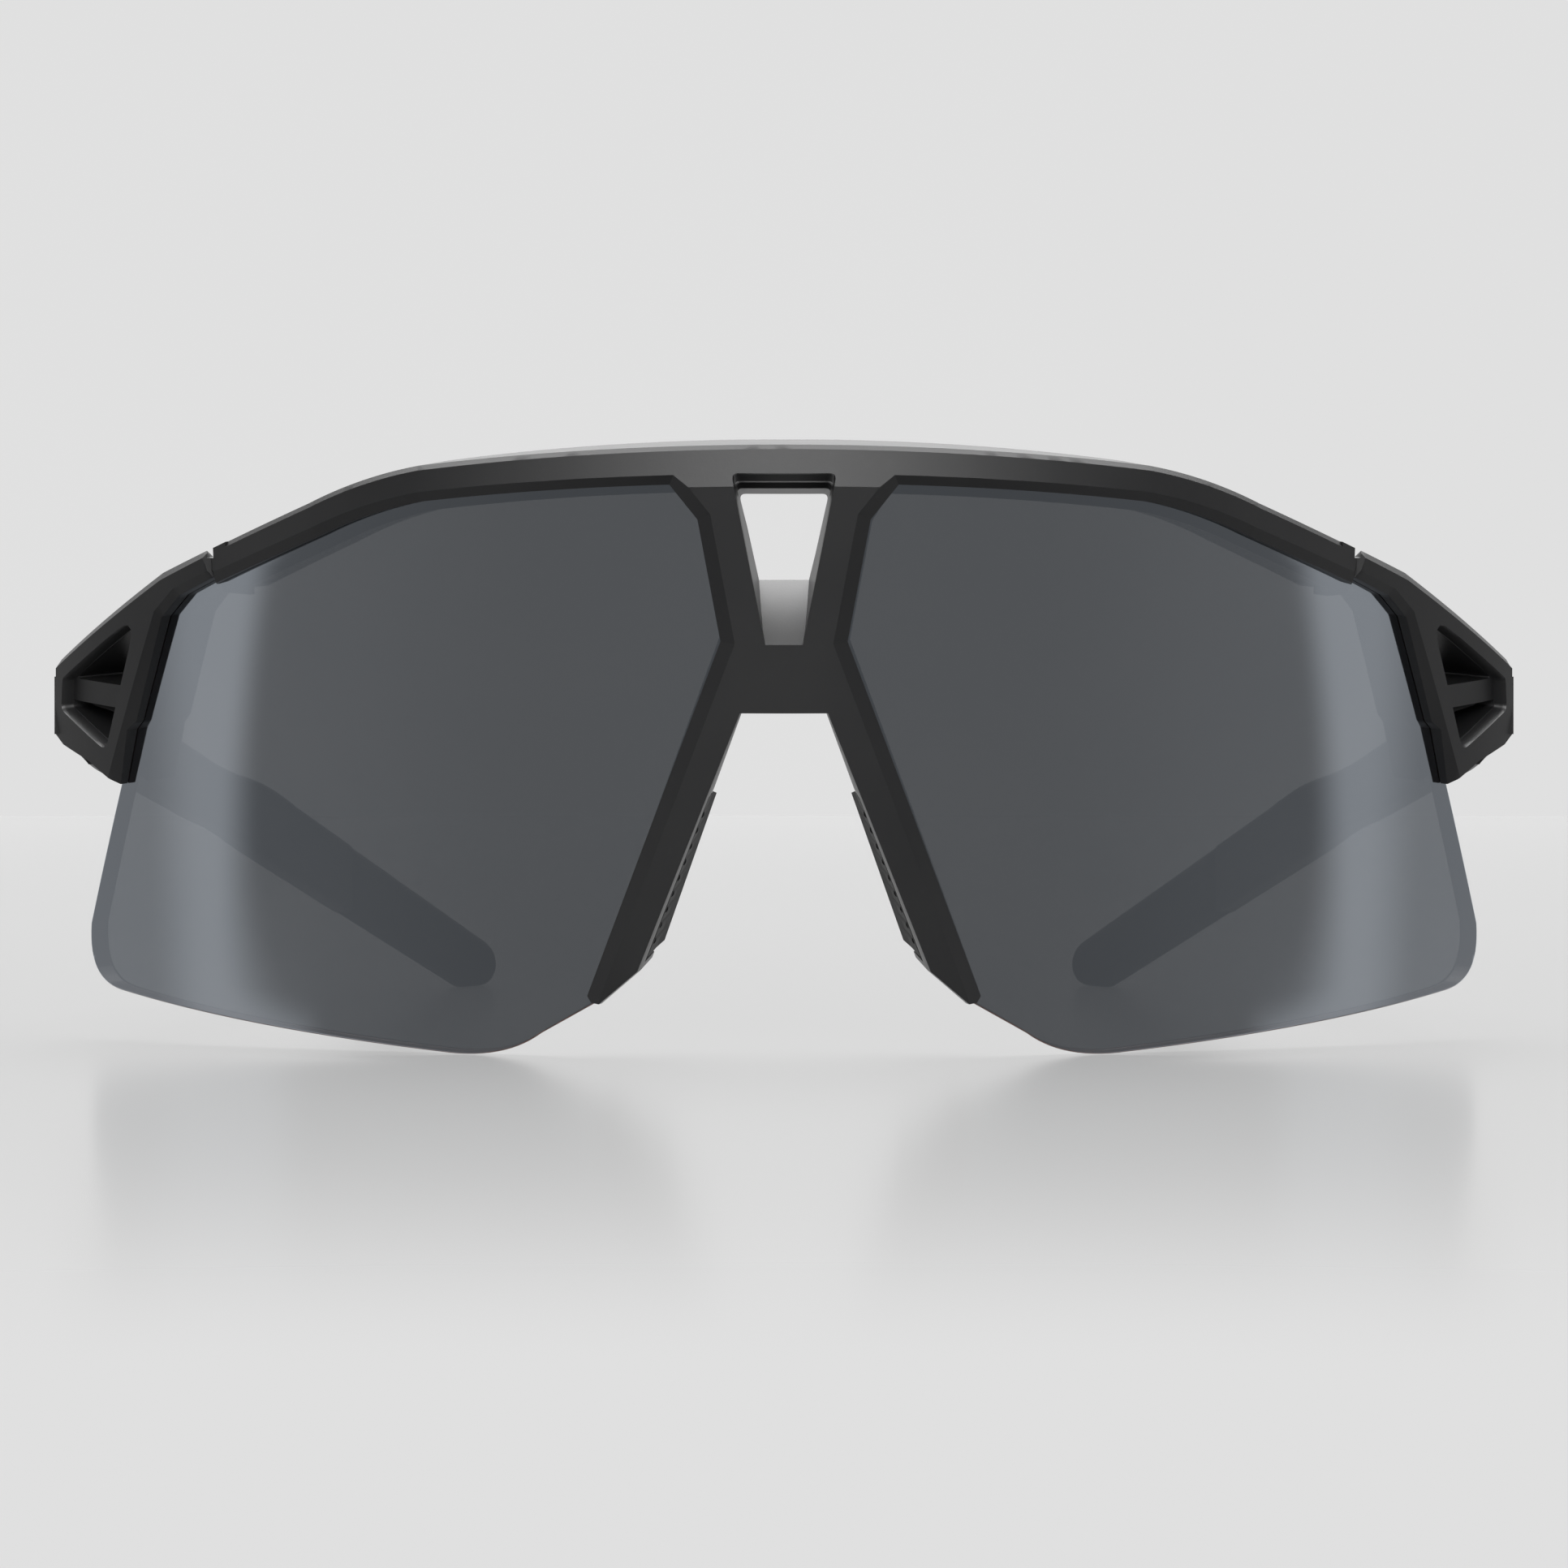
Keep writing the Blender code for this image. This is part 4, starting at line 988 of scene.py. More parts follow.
def joint_block(name, past, top, back):
    """What lies between the brow's own end and the joint's face, in front of the tongue."""
    layers = []
    for level in (back, FRONT_PROUD + (1.0 if top else 0.0)):
        end = joint_reach(level, past)
        high = BROW_TOP - BROW_END_DROP + top
        low = high - top - BAR_HEIGHT - 1.2
        inner = BROW_HALF_LENGTH - 1.5 - top
        slope = BROW_SLOPE if not top else 0.0
        outline = [(inner, high + 1.5 * slope), (end, high - (end - BROW_HALF_LENGTH) * slope)]
        outline += [(end - JOINT_SLANT * (high - low), low), (inner, low)]
        layers.append((level, outline))
    return loft(name, layers, in_front)


def bar_end():
    """The brow's end, which reaches over the tongue to the joint's face."""
    return joint_block("bar_end", 0.0, 0.0, 0.45 - TONGUE_FRONT)


def make_notch():
    """The notch over the joint, cut straight back through both pieces."""
    layers = []
    top = BROW_TOP - BROW_END_DROP + 3
    foot = BROW_TOP - BROW_END_DROP - NOTCH_DEPTH
    for level in (-FRONT_BACK - 1, FRONT_PROUD + 1):
        end = joint_reach(level, JOINT_LINE)
        lift = (FRONT_PROUD - level) * 0.10
        outline = [(end - NOTCH_WIDTH, foot - lift), (end, foot - lift)]
        outline += [(end + 0.5, top), (end - NOTCH_WIDTH + 0.3, top)]
        layers.append((level, outline))
    return loft("notch", layers, in_front)


def make_front(finish):
    outline = front_outline()
    lowest = BROW_TOP - BROW_END_DROP - 0.3
    on_top = [v > lowest and v > brow_height(abs(u)) - 0.5 for u, v in outline]
    ahead = [TOP_CHAMFER if high else EDGE_CHAMFER for high in on_top]
    front = plate("front", outline, -FRONT_BACK, FRONT_PROUD, REAR_CHAMFER, ahead)
    join(front, *both_sides(make_tongue))
    join(front, *both_sides(bar_end))
    cut(front, lean_cutter())
    cut(front, window_cutter())
    cut(front, *both_sides(lambda: lip_cutter(front_opening(0, 5.0))))
    cut(front, *both_sides(lambda: groove(CLEARANCE)))
    cut(front, *both_sides(pad_pocket))
    cut(front, *both_sides(make_notch))
    u, v = pivot()
    cut(front, *both_sides(
        lambda: drum("pin_hole", PIN_HOLE_RADIUS, TONGUE_FRONT - 1, TONGUE_BACK + 1, (u, v), 24, "Y")
    ))
    tidy_faces(front)
    soften(front, EDGE_ROUNDING)
    wrap(front, finish)
    for vertex in front.data.vertices:
        vertex.co.z = min(vertex.co.z, cad_box[1][2])
    smooth(front, 9.5)
    return front


def brow_height(u):
    """Height of the brow's top edge at u."""
    line = brow_line(0, run=10)
    for (u0, v0), (u1, v1) in zip(line, line[1:]):
        if u0 <= u <= u1:
            return v0 + (v1 - v0) * (u - u0) / (u1 - u0)
    return line[-1][1]


def make_lens(coat, body, rim):
    lens = plate("lens", lens_outline(), -LENS_THICKNESS, 0)
    soften(lens, 0.22, 3)
    slice_rows(lens)
    wrap(lens, coat)
    lens.data.materials.clear()
    for finish in (coat, body, rim):
        lens.data.materials.append(finish)
    smooth(lens)
    upright = Matrix.Rotation(-LENS_TILT, 3, "X")
    for polygon in lens.data.polygons:
        across = polygon.center.x / MM
        ahead = Vector((across, -math.sqrt(LENS_RADIUS ** 2 - across ** 2), 0)).normalized()
        outward = (upright @ polygon.normal).dot(ahead)
        polygon.material_index = 0 if outward > 0.9 else 1 if outward < -0.9 else 2
    return lens


# ---- End piece ---------------------------------------------------------------------------------------


def vent_cutters():
    """The three-cornered vent, open above and below the rib, and shallow over the rib."""
    j = BROW_HALF_LENGTH
    top = BROW_TOP - BROW_END_DROP
    upper, outer_top = (j + 10.6, top - 7.6), (j + 22.9, top - 14.7)
    outer_foot, lower = (j + 23.3, top - 17.6), (j + 15.8, top - 20.7)
    rib_top = top - 14.7
    rib_foot = rib_top - VENT_RIB

    def on_side(v):
        f = (upper[1] - v) / (upper[1] - lower[1])
        return (upper[0] + f * (lower[0] - upper[0]), v)

    def on_top(v):
        f = (upper[1] - v) / (upper[1] - outer_top[1])
        return (upper[0] + f * (outer_top[0] - upper[0]), v)

    whole = [upper, outer_top, outer_foot, lower]
    above = [upper, on_top(rib_top), on_side(rib_top)]
    outer_at_foot = (outer_top[0] + 0.3, rib_foot)
    below = [on_side(rib_foot), outer_at_foot, outer_foot, lower]
    back = -FRONT_BACK - 2
    face = eased(inset(whole, 0.1), {0: 0.9, 1: 0.4, 2: 0.5, 3: 0.7})
    wide = inset(face, -0.5)
    middle = inset(face, -0.12)
    above = eased(inset(above, 0.2), {0: 0.6, 1: 0.3, 2: 0.3})
    below = eased(inset(below, 0.2), {0: 0.3, 1: 0.2, 2: 0.3, 3: 0.5})
    layers = [(FRONT_PROUD - RIB_RECESS, face), (FRONT_PROUD - 0.45, middle), (FRONT_PROUD + 0.4, wide)]
    return [
        loft("vent_face", layers, in_front),
        plate("vent_above", above, back, FRONT_PROUD + 0.5),
        plate("vent_below", below, back, FRONT_PROUD + 0.5),
    ]


def tongue_slot():
    u, v = pivot()
    r = TONGUE_RADIUS + CLEARANCE
    arc = [(u + r * math.sin(a), v + r * math.cos(a)) for a in [math.pi * i / 12 for i in range(13)]]
    inner = BROW_HALF_LENGTH - 1
    outline = [(inner, v + 3 * r)] + [(u, v + 3 * r)] + arc[1:] + [(inner, v - r - 0.8)]
    return plate("slot", outline, -TONGUE_BACK - CLEARANCE, -TONGUE_FRONT + CLEARANCE)


def lug_levels():
    """Heights in the hinge stack: the lower lug, the temple's knuckle and the upper lug."""
    top = ROOT_TOP - LUG_TOP_DROP
    upper = (top - LUG_HEIGHT, top)
    knuckle_top = upper[0] - CLEARANCE
    knuckle = (knuckle_top - KNUCKLE_HEIGHT, knuckle_top)
    lower_top = knuckle[0] - CLEARANCE
    return (lower_top - LUG_HEIGHT, lower_top), knuckle, upper


def laid(obj):
    """A block or a drum in the temple layout, laid on the glasses."""
    lay_temple(obj, FINISHES["satin_plastic"])
    return obj


def hinge_blocks():
    lower, _, upper = lug_levels()
    face = -CLEARANCE / 2
    wall = [(face, -0.1), (face, -4.4), (-4.5, -4.4), (-6.5, -2.2), (-6.3, -1.0)]
    r = KNUCKLE_RADIUS
    ends = [math.pi * (0.5 - i / 16) for i in range(17)]
    lugs = [(r * math.cos(a), r * math.sin(a) - HINGE_INSET) for a in ends]
    lugs += [(-3.5, -HINGE_INSET - r), (-4.9, -HINGE_INSET - r + 0.3), (-5.2, -3.2)]
    return [
        laid(loft("wall", [(temple_foot(0) + 0.5, wall), (ROOT_TOP, wall)], in_plan)),
        laid(loft("lugs", [(lower[0], inset(lugs, 0.8)), (lower[0] + 1.2, lugs), (upper[1], lugs)], in_plan)),
    ]


def hinge_cutters():
    lower, knuckle, upper = lug_levels()
    head_seat = upper[1] - SCREW_HEAD_HEIGHT - 0.3
    nut_seat = lower[0] + SCREW_HEAD_HEIGHT + 0.3
    gap = KNUCKLE_RADIUS + CLEARANCE
    axis = (0, -HINGE_INSET)
    return [
        laid(drum("swing", gap, knuckle[0] - CLEARANCE, knuckle[1] + CLEARANCE, axis)),
        laid(drum("screw_hole", SCREW_RADIUS + RUNNING_GAP, lower[0] - 1, upper[1] + 1, axis)),
        laid(drum("head_seat", SCREW_HEAD_RADIUS + CLEARANCE, head_seat, upper[1] + 1, axis)),
        laid(drum("nut_seat", SCREW_HEAD_RADIUS + CLEARANCE, lower[0] - 1, nut_seat, axis)),
    ]


def make_endpiece(finish):
    outer = endpiece_outer()
    rear = endpiece_inner(ENDPIECE_REAR_LIP)
    lip_foot = (rear[0][0] - 3.2, rear[0][1] + 6.2)
    outline = outer + [(lip_foot[0] + 1.0, lip_foot[1] - 0.9), lip_foot] + rear[1:]
    ahead = [0.6, 0.7, 0.7, 0.5] + [0.3] * 3 + [EDGE_CHAMFER] * (len(outline) - 7)
    endpiece = plate("endpiece", outline, -FRONT_BACK, FRONT_PROUD, REAR_CHAMFER, ahead)
    opening = endpiece_inner(0)
    foot, joint = opening[0], opening[-1]
    slope = Vector(foot) - Vector(opening[1])
    past = Vector(foot) + slope.normalized() * 4
    opening = [(past.x, past.y)] + opening[1:-1]
    opening += [(joint[0] - 3, joint[1] + 3 * BROW_SLOPE), (joint[0] - 3, past.y)]
    cut(endpiece, lip_cutter(opening))
    cut(endpiece, groove(SWING_CLEARANCE))
    cut(endpiece, *vent_cutters())
    cut(endpiece, tongue_slot())
    cut(endpiece, joint_block("joint_face", JOINT_LINE, 3.0, CLEARANCE - TONGUE_FRONT))
    cut(endpiece, make_notch())
    u, v = pivot()
    cut(endpiece, drum("pin_hole", PIN_HOLE_RADIUS, LENS_THICKNESS - 0.5, FRONT_BACK + 1, (u, v), 24, "Y"))
    tidy_faces(endpiece)
    soften(endpiece, EDGE_ROUNDING)
    wrap(endpiece, finish)
    cut(endpiece, *hinge_cutters())
    for block in hinge_blocks():
        cut(block, *hinge_cutters())
        join(endpiece, block)
    smooth(endpiece)
    return endpiece


# ---- Temple ------------------------------------------------------------------------------------------


def soft_bend(s, root, bend, height, end):
    first = root + (height - root) * s / bend
    second = height + (end - height) * (s - bend) / (TEMPLE_LENGTH - bend)
    blend = min(max((s - bend + 8) / 16, 0), 1)
    blend = blend * blend * (3 - 2 * blend)
    return first + (second - first) * blend


def temple_top(s):
    return soft_bend(s, ROOT_TOP, TEMPLE_STRAIGHT + 10.0, ROOT_TOP - TEMPLE_TOP_DROP, TIP_END_HEIGHT - 0.5)


def temple_foot(s):
    root = ROOT_TOP - TEMPLE_ROOT_HEIGHT
    relief = ROOT_RELIEF * (1 - min(s / ROOT_RELIEF_RUN, 1)) ** 2
    return soft_bend(s, root, TEMPLE_STRAIGHT, root - TEMPLE_FOOT_DROP, -TIP_OVERRUN) + relief


def section(low, high, inner, outer, radius, steps=5):
    """A rounded rectangle in (t, z), as [(t, z), ...]."""
    r = min(radius, (high - low) / 2 - 0.01, (outer - inner) / 2 - 0.01)
    centres = [(outer - r, high - r), (inner + r, high - r), (inner + r, low + r), (outer - r, low + r)]
    points = []
    for (t, z), start in zip(centres, (0, 90, 180, 270)):
        for i in range(steps + 1):
            a = math.radians(start + 90 * i / steps)
            points.append((t + r * math.cos(a), z + r * math.sin(a)))
    return points


def sweep(name, stations):
    """A closed solid through sections. stations is [(s, section), ...]."""
    return loft(name, stations, lambda t, z, s: (s, t, z))


def thickness_at(s):
    share = min(max((s - 8.0) / 14.0, 0), 1)
    return TEMPLE_ROOT_THICKNESS + (TEMPLE_THICKNESS - TEMPLE_ROOT_THICKNESS) * share


def temple_section(s, shrink):
    low, high = temple_foot(s) + shrink, temple_top(s) - shrink
    return section(low, high, shrink - thickness_at(s), -shrink, TEMPLE_EDGE_RADIUS)


def make_temple(finish):
    start, end = CLEARANCE / 2, TEMPLE_LENGTH - TIP_LENGTH
    stations = [(start, 0.3), (start + 0.1, 0.12), (start + 0.3, 0.0)]
    step = (end - 0.5 - start) / TEMPLE_RINGS
    stations += [(start + 0.3 + step * i, 0.0) for i in range(1, TEMPLE_RINGS + 1)]
    stations.append((end, 0.2))
    temple = sweep("temple", [(s, temple_section(s, shrink)) for s, shrink in stations])
    lower, knuckle, upper = lug_levels()
    axis = (0, -HINGE_INSET)
    arm = [(0, -HINGE_INSET), (0, -2.0), (3.5, -2.0), (3.5, -HINGE_INSET)]
    gap = KNUCKLE_RADIUS + CLEARANCE
    cut(temple, drum("low", gap, lower[0] - 2, lower[1] + CLEARANCE, axis))
    cut(temple, drum("high", gap, upper[0] - CLEARANCE, upper[1] + 6, axis))
    join(temple, loft("arm", [(knuckle[0] + 0.01, arm), (knuckle[1] - 0.01, arm)], in_plan))
    join(temple, drum("knuckle", KNUCKLE_RADIUS, *knuckle, axis))
    bore = SCREW_RADIUS + RUNNING_GAP + BUSH_WALL + RUNNING_GAP
    cut(temple, drum("bore", bore, knuckle[0] - 1, knuckle[1] + 1, axis))
    lay_temple(temple, finish)
    smooth(temple)
    return temple


def tip_ends(s):
    """Foot and top of the rubber tip at s, with its rounded end."""
    foot, top = max(temple_foot(s), 0.0), temple_top(s)
    left = TEMPLE_LENGTH - s
    if left < TIP_END_RADIUS:
        drop = TIP_END_RADIUS - math.sqrt(TIP_END_RADIUS ** 2 - (TIP_END_RADIUS - left) ** 2)
        foot, top = foot + drop * 0.95, top - drop * 0.95
    return foot, top


def make_tip(finish):
    start, end = TEMPLE_LENGTH - TIP_LENGTH + CLEARANCE, TEMPLE_LENGTH
    middle = -TEMPLE_THICKNESS / 2
    half = TIP_THICKNESS / 2
    stations = [start, start + 0.15, start + 0.5]
    stations += [start + 0.5 + (end - 3.2 - start) * i / 30 for i in range(1, 31)]
    stations += [end - TIP_END_RADIUS * (1 - math.sin(math.radians(a))) for a in range(6, 90, 7)] + [end]
    rings = []
    for s in stations:
        foot, top = tip_ends(s)
        shrink = {0: 0.35, 1: 0.12}.get(stations.index(s), 0.0)
        left = end - s
        side = half - shrink
        if left < 2.0:
            side = half * (0.5 + 0.5 * math.sqrt(max(1 - (1 - left / 2.0) ** 2, 0)))
        rings.append((s, section(foot + shrink, top - shrink, middle - side, middle + side, TIP_EDGE_RADIUS)))
    tip = sweep("tip", rings)
    lay_temple(tip, finish)
    smooth(tip, 50)
    return tip


# ---- Nose pad ------------------------------------------------------------------------------------------


def pad_line():
    """The ends of the nose pad on the arm's nose side, the direction down it and the one into the arm."""
    top, foot = (Vector(p) for p in arm_inner_line())
    run = (foot - top).normalized()
    end = foot - run * PAD_FOOT_RUN
    return end - run * PAD_LENGTH, end, run, Vector((-run.y, run.x))


def pad_strip(proud, sunk, short):
    start, end, run, into = pad_line()
    a, b = start + run * short, end - run * short
    return [tuple(p) for p in (a - into * proud, b - into * proud, b + into * sunk, a + into * sunk)]


def pad_pocket():
    """The pocket in the arm's nose side that the pad lies in, open to the back."""
    return plate("pocket", pad_strip(3.0, PAD_SINK, -CLEARANCE), -FRONT_BACK - 1, CLEARANCE - PAD_SETBACK)


def make_nose_pad(finish):
    """A rounded strip in the pocket of the arm's nose side, wider behind the arm."""
    proud = CLEARANCE + PAD_THICKNESS - PAD_SINK
    floor = PAD_SINK - CLEARANCE
    behind = -FRONT_BACK - CLEARANCE
    layers = [
        (-PAD_DEPTH, pad_strip(proud - 0.2, PAD_COVER - 0.7, 1.2)),
        (-PAD_DEPTH + 1.0, pad_strip(proud + 0.3, PAD_COVER, 0.4)),
        (behind, pad_strip(proud, PAD_COVER, 0)),
        (behind + 0.05, pad_strip(proud, floor, 0)),
        (-PAD_SETBACK - 0.5, pad_strip(proud, floor, 0)),
        (-PAD_SETBACK, pad_strip(proud - 0.3, floor, 0.3)),
    ]
    pad = loft("nose_pad", layers, in_front)
    soften(pad, 0.25, 3)
    join(pad, make_ribs(proud, finish))
    wrap(pad, finish)
    smooth(pad, 40)
    return pad


def rib_tree():
    """Grip ribs: rounded bars set out evenly along a line."""
    inputs = [("Count", "NodeSocketInt"), ("Spacing", "NodeSocketFloat"), ("Length", "NodeSocketFloat"),
              ("Radius", "NodeSocketFloat"), ("Finish", "NodeSocketMaterial")]
    tree, graph, given = tree_with("grip_ribs", inputs)
    gap = graph.wire("ShaderNodeCombineXYZ", None, {"X": given["Spacing"]})
    row = graph.wire("GeometryNodeMeshLine", None, {"Count": given["Count"], "Offset": gap})
    bar = graph.wire("GeometryNodeMeshCylinder", {"fill_type": "NGON"}, {
        "Vertices": 12, "Side Segments": 1, "Radius": given["Radius"], "Depth": given["Length"]
    })
    turned = graph.wire("GeometryNodeTransform", None, {"Geometry": bar, "Rotation": (math.pi / 2, 0, 0)})
    ribs = graph.wire("GeometryNodeInstanceOnPoints", None, {"Points": row, "Instance": turned})
    close_tree(graph, ribs, given["Finish"])
    return tree


def make_ribs(proud, finish):
    """The pad's ribs, standing a little out of its nose side behind the arm."""
    start, _, run, into = pad_line()
    ribs = new_object("ribs", bpy.data.meshes.new("ribs"))
    spacing = (PAD_LENGTH - 3.2) / (PAD_RIB_COUNT - 1)
    values = {"Count": PAD_RIB_COUNT, "Spacing": spacing * MM, "Length": PAD_RIB_LENGTH * MM}
    values["Radius"] = PAD_RIB_RADIUS * MM
    values["Finish"] = finish
    run_tree(ribs, TREES["ribs"], values)
    base = start + run * 1.6 - into * (proud + PAD_RIB_HEIGHT - PAD_RIB_RADIUS)
    turn = Matrix(((run.x, 0, -into.x), (0, 1, 0), (run.y, 0, -into.y))).to_4x4()
    middle = (PAD_SETBACK + PAD_DEPTH) / 2
    ribs.data.transform(Matrix.Translation(Vector((base.x, middle, base.y)) * MM) @ turn)
    return ribs


# ---- Hinge screw ---------------------------------------------------------------------------------------


def fastener_tree():
    """A slotted pan-head screw whose shank runs down to the nut's level, turned round one upright axis."""
    floats = ["Head radius", "Head height", "Shank radius", "Head level", "Nut level", "Slot width"]
    inputs = [(label, "NodeSocketFloat") for label in floats] + [("Finish", "NodeSocketMaterial")]
    tree, graph, given = tree_with("hinge_fastener", inputs)
    rim = given["Head radius"]
    rise = given["Head height"]
    head = graph.wire("GeometryNodeMeshCone", {"fill_type": "NGON"}, {
        "Vertices": 36, "Side Segments": 1, "Radius Top": rim * 0.82, "Radius Bottom": rim, "Depth": rise
    })
    length = given["Head level"] - given["Nut level"]
    shank = graph.wire("GeometryNodeMeshCylinder", {"fill_type": "NGON"}, {
        "Vertices": 24, "Side Segments": 1, "Radius": given["Shank radius"], "Depth": length + 0.0002
    })
    slot_sides = {"X": rim * 3.0, "Y": given["Slot width"], "Z": rise}
    slot_size = graph.wire("ShaderNodeCombineXYZ", None, slot_sides)
    slot = graph.wire("GeometryNodeMeshCube", None, {"Size": slot_size})

    def raised(shape, level):
        offset = graph.wire("ShaderNodeCombineXYZ", None, {"Z": level})
        return graph.wire("GeometryNodeTransform", None, {"Geometry": shape, "Translation": offset})

    slotted = graph.node("GeometryNodeMeshBoolean", {"operation": "DIFFERENCE", "solver": "EXACT"}, {
        "Mesh 1": raised(head, given["Head level"]), "Mesh 2": raised(slot, given["Head level"] + rise * 0.72)
    })
    whole = graph.node("GeometryNodeMeshBoolean", {"operation": "UNION", "solver": "EXACT"})
    graph.tree.links.new(slotted.outputs[0], whole.inputs[1])
    level = (given["Head level"] + given["Nut level"]) * 0.5
    graph.tree.links.new(raised(shank, level).socket, whole.inputs[1])
    close_tree(graph, Wire(graph, whole.outputs[0]), given["Finish"])
    return tree


def make_screw(finish):
    lower, _, upper = lug_levels()
    head = upper[1] - SCREW_HEAD_HEIGHT / 2 - 0.1
    screw = new_object("screw", bpy.data.meshes.new("screw"))
    run_tree(screw, TREES["fastener"], {
        "Head radius": SCREW_HEAD_RADIUS * MM,
        "Head height": SCREW_HEAD_HEIGHT * MM,
        "Shank radius": SCREW_RADIUS * MM,
        "Head level": head * MM,
        "Nut level": (lower[0] + 0.3) * MM,
        "Slot width": 0.4 * MM,
        "Finish": finish,
    })
    screw.data.transform(Matrix.Translation(Vector((HINGE.x, HINGE.y, 0)) * MM))
    smooth(screw, 30)
    return screw


# ---- Putting it together -------------------------------------------------------------------------------


TREES = {
    "front": front_bend_tree(),
    "temple": temple_bend_tree(),
    "ribs": rib_tree(),
    "fastener": fastener_tree(),
}
FINISHES = {
    "satin_plastic": satin_plastic(),
    "mirror_coat": mirror_coat(),
    "tinted_body": tinted_body(),
    "lens_rim": lens_rim(),
    "soft_rubber": soft_rubber(),
    "steel": turned_metal("turned_steel", (0.42, 0.42, 0.43, 1), (0.58, 0.58, 0.59, 1), 0.26),
    "brass": turned_metal("turned_brass", (0.52, 0.37, 0.17, 1), (0.74, 0.57, 0.28, 1), 0.28),
}


def hand_over(right, node, body, sharp=32.0):
    """Names the right and left pieces, and lets each ride on its body in place of its node."""
    left = mirrored(right, node + "left")
    smooth(left, sharp)
    for piece, side in ((right, "right"), (left, "left")):
        piece.name = "finished_" + node + side
        piece.data.name = piece.name
        place = body if body == "front" else body + side
        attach(piece, place)
        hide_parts(node + side)


def add_pieces():
    plastic = FINISHES["satin_plastic"]
    front = make_front(plastic)
    front.name = "finished_front"
    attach(front, "front")
    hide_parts("front_frame")
    lens = make_lens(FINISHES["mirror_coat"], FINISHES["tinted_body"], FINISHES["lens_rim"])
    hand_over(lens, "lens_", "front")
    hand_over(make_nose_pad(FINISHES["soft_rubber"]), "nose_pad_", "front", 40.0)
    hand_over(make_endpiece(plastic), "endpiece_", "end_piece_")
    hand_over(make_temple(plastic), "temple_", "side_arm_")
    hand_over(make_tip(FINISHES["soft_rubber"]), "temple_tip_", "side_arm_", 50.0)
    hand_over(make_screw(FINISHES["steel"]), "hinge_screw_", "end_piece_", 30.0)


def coat_nodes():
    """Finishes for the small nodes that show as they are."""
    finishes = {"endpiece_pin_": "steel", "tip_core_": "steel", "hinge_nut_": "brass"}
    finishes["hinge_bush_"] = "soft_rubber"
    for side in ("left", "right"):
        for node, finish in finishes.items():
            for slot in frame["nodes"][node + side].material_slots:
                slot.material = FINISHES[finish]


BACKDROP = 0.745
FLOOR_GLOSS = 0.42
FLOOR_MIRROR = 0.73
FLOOR_GLOW = 0.86
FLOOR_SHADE = 0.030
LOW_LIGHT = 0.135
TOP_LIGHT = 10.0
PANEL_LIGHT = 9.0


def floor_material():
    """A pale satin floor that gives off most of its own light, and mirrors softly at a low angle."""
    material, graph, place = finish_graph("pale_floor")
    tone = noise(graph, place, 0.004, 2.0)
    shade = graph.mixed(tone.rise(0.3, 0.7), grey(FLOOR_SHADE), grey(FLOOR_SHADE * 1.01))
    glow = graph.node("ShaderNodeEmission", None, {"Color": grey(BACKDROP * FLOOR_GLOW)})
    matt = graph.node("ShaderNodeBsdfDiffuse", None, {"Color": shade})
    soft = graph.node("ShaderNodeAddShader")
    gloss = graph.node("ShaderNodeBsdfGlossy", None, {"Color": grey(FLOOR_MIRROR), "Roughness": 0.17})
    facing = graph.wire("ShaderNodeLayerWeight", None, {"Blend": 0.5}, output=1)
    share = facing.rise(0.865, 0.935) * FLOOR_GLOSS
    mix = graph.node("ShaderNodeMixShader", None, {0: share})
    links = graph.tree.links
    links.new(glow.outputs[0], soft.inputs[0])
    links.new(matt.outputs[0], soft.inputs[1])
    links.new(soft.outputs[0], mix.inputs[1])
    links.new(gloss.outputs[0], mix.inputs[2])
    close(graph, mix)
    return material


def backdrop_material():
    material, graph, place = finish_graph("pale_backdrop")
    tone = noise(graph, place, 0.002, 2.0)
    shade = graph.mixed(tone.rise(0.3, 0.7), grey(BACKDROP), grey(BACKDROP * 1.005))
    close(graph, graph.node("ShaderNodeEmission", None, {"Color": shade}))
    return material


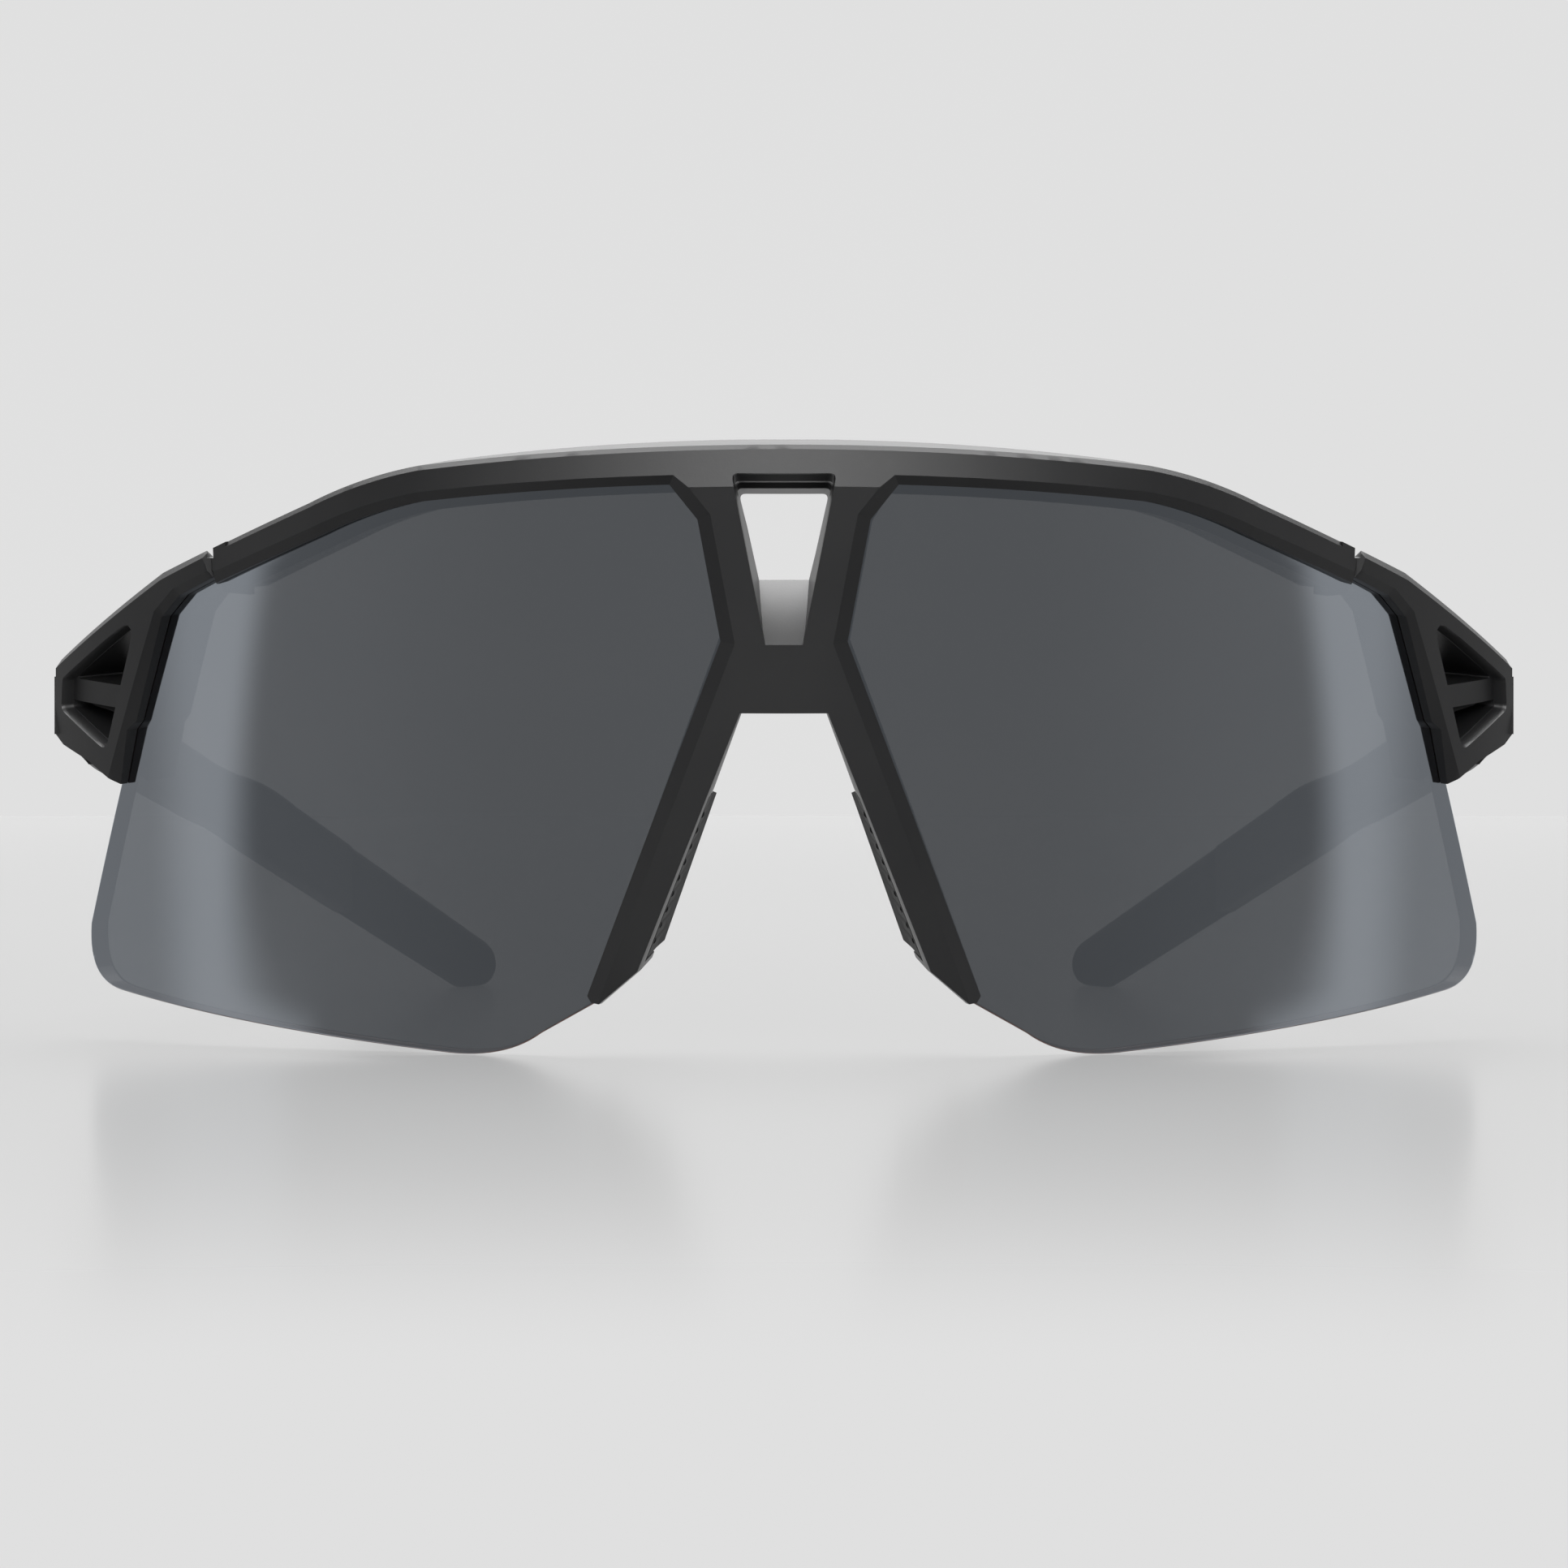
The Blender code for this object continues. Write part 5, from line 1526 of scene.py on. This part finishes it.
def add_stage():
    """A pale floor, and a pale dome behind everything that only the eye sees."""
    bm = bmesh.new()
    bmesh.ops.create_circle(bm, cap_ends=True, segments=96, radius=3.0)
    mesh = bpy.data.meshes.new("floor")
    bm.to_mesh(mesh)
    bm.free()
    floor = new_object("floor", mesh)
    mesh.materials.append(floor_material())
    floor.visible_glossy = False
    bm = bmesh.new()
    bmesh.ops.create_uvsphere(bm, u_segments=64, v_segments=32, radius=3.2)
    bmesh.ops.reverse_faces(bm, faces=bm.faces)
    mesh = bpy.data.meshes.new("backdrop")
    bm.to_mesh(mesh)
    bm.free()
    dome = new_object("backdrop", mesh)
    mesh.materials.append(backdrop_material())
    for kind in ("diffuse", "glossy", "shadow", "volume_scatter"):
        setattr(dome, "visible_" + kind, False)


def add_studio():
    """Soft light: a big box overhead, a panel over the front, a pale side and a pale back."""
    world = bpy.data.worlds.new("studio")
    bpy.context.scene.world = world
    world.use_nodes = True
    graph = Graph(world.node_tree)
    x, y, z = graph.parts(graph.wire("ShaderNodeTexCoord", output="Generated"))
    azimuth = x.math("ARCTAN2", abs(x), y * -1.0)
    height = z.math("ARCSINE", z)

    def deg(value):
        return math.radians(value)

    bow = (z + 0.205) * (z + 0.205) * 2000.0
    inner = deg(80.9) - bow.math("MINIMUM", bow, 10.0) * deg(1.0)
    sides = (azimuth - inner).rise(deg(-5), deg(4)) * 0.35 - azimuth.rise(deg(86), deg(98)) * 0.19
    back = azimuth.rise(deg(112), deg(135)) * 0.45
    low = LOW_LIGHT + azimuth.rise(deg(30), deg(75)) * 0.035 + sides + back
    overhead = y * 0.30 + z * 0.954
    top = overhead.rise(math.cos(deg(44)), math.cos(deg(14))) * TOP_LIGHT
    panel = height.rise(deg(0), deg(14)) * (1 - height.rise(deg(28), deg(48)))
    panel = panel * (1 - azimuth.rise(deg(2), deg(36))) * PANEL_LIGHT
    strength = low + top + panel
    light = graph.wire("ShaderNodeBackground", None, {"Color": grey(1.0), "Strength": strength})
    graph.node("ShaderNodeOutputWorld", None, {"Surface": light})


def add_camera():
    camera = bpy.data.cameras.new("camera")
    camera.lens = 98.18
    camera.sensor_width = 36.0
    camera.clip_start = 0.01
    camera.clip_end = 20.0
    obj = bpy.data.objects.new("camera", camera)
    bpy.context.scene.collection.objects.link(obj)
    obj.location = (0.0, -0.46272, 0.02534)
    obj.rotation_euler = (math.radians(90), 0, 0)
    bpy.context.scene.camera = obj


add_camera()
add_pieces()
coat_nodes()
add_stage()
add_studio()
bpy.context.scene.view_settings.view_transform = "Standard"
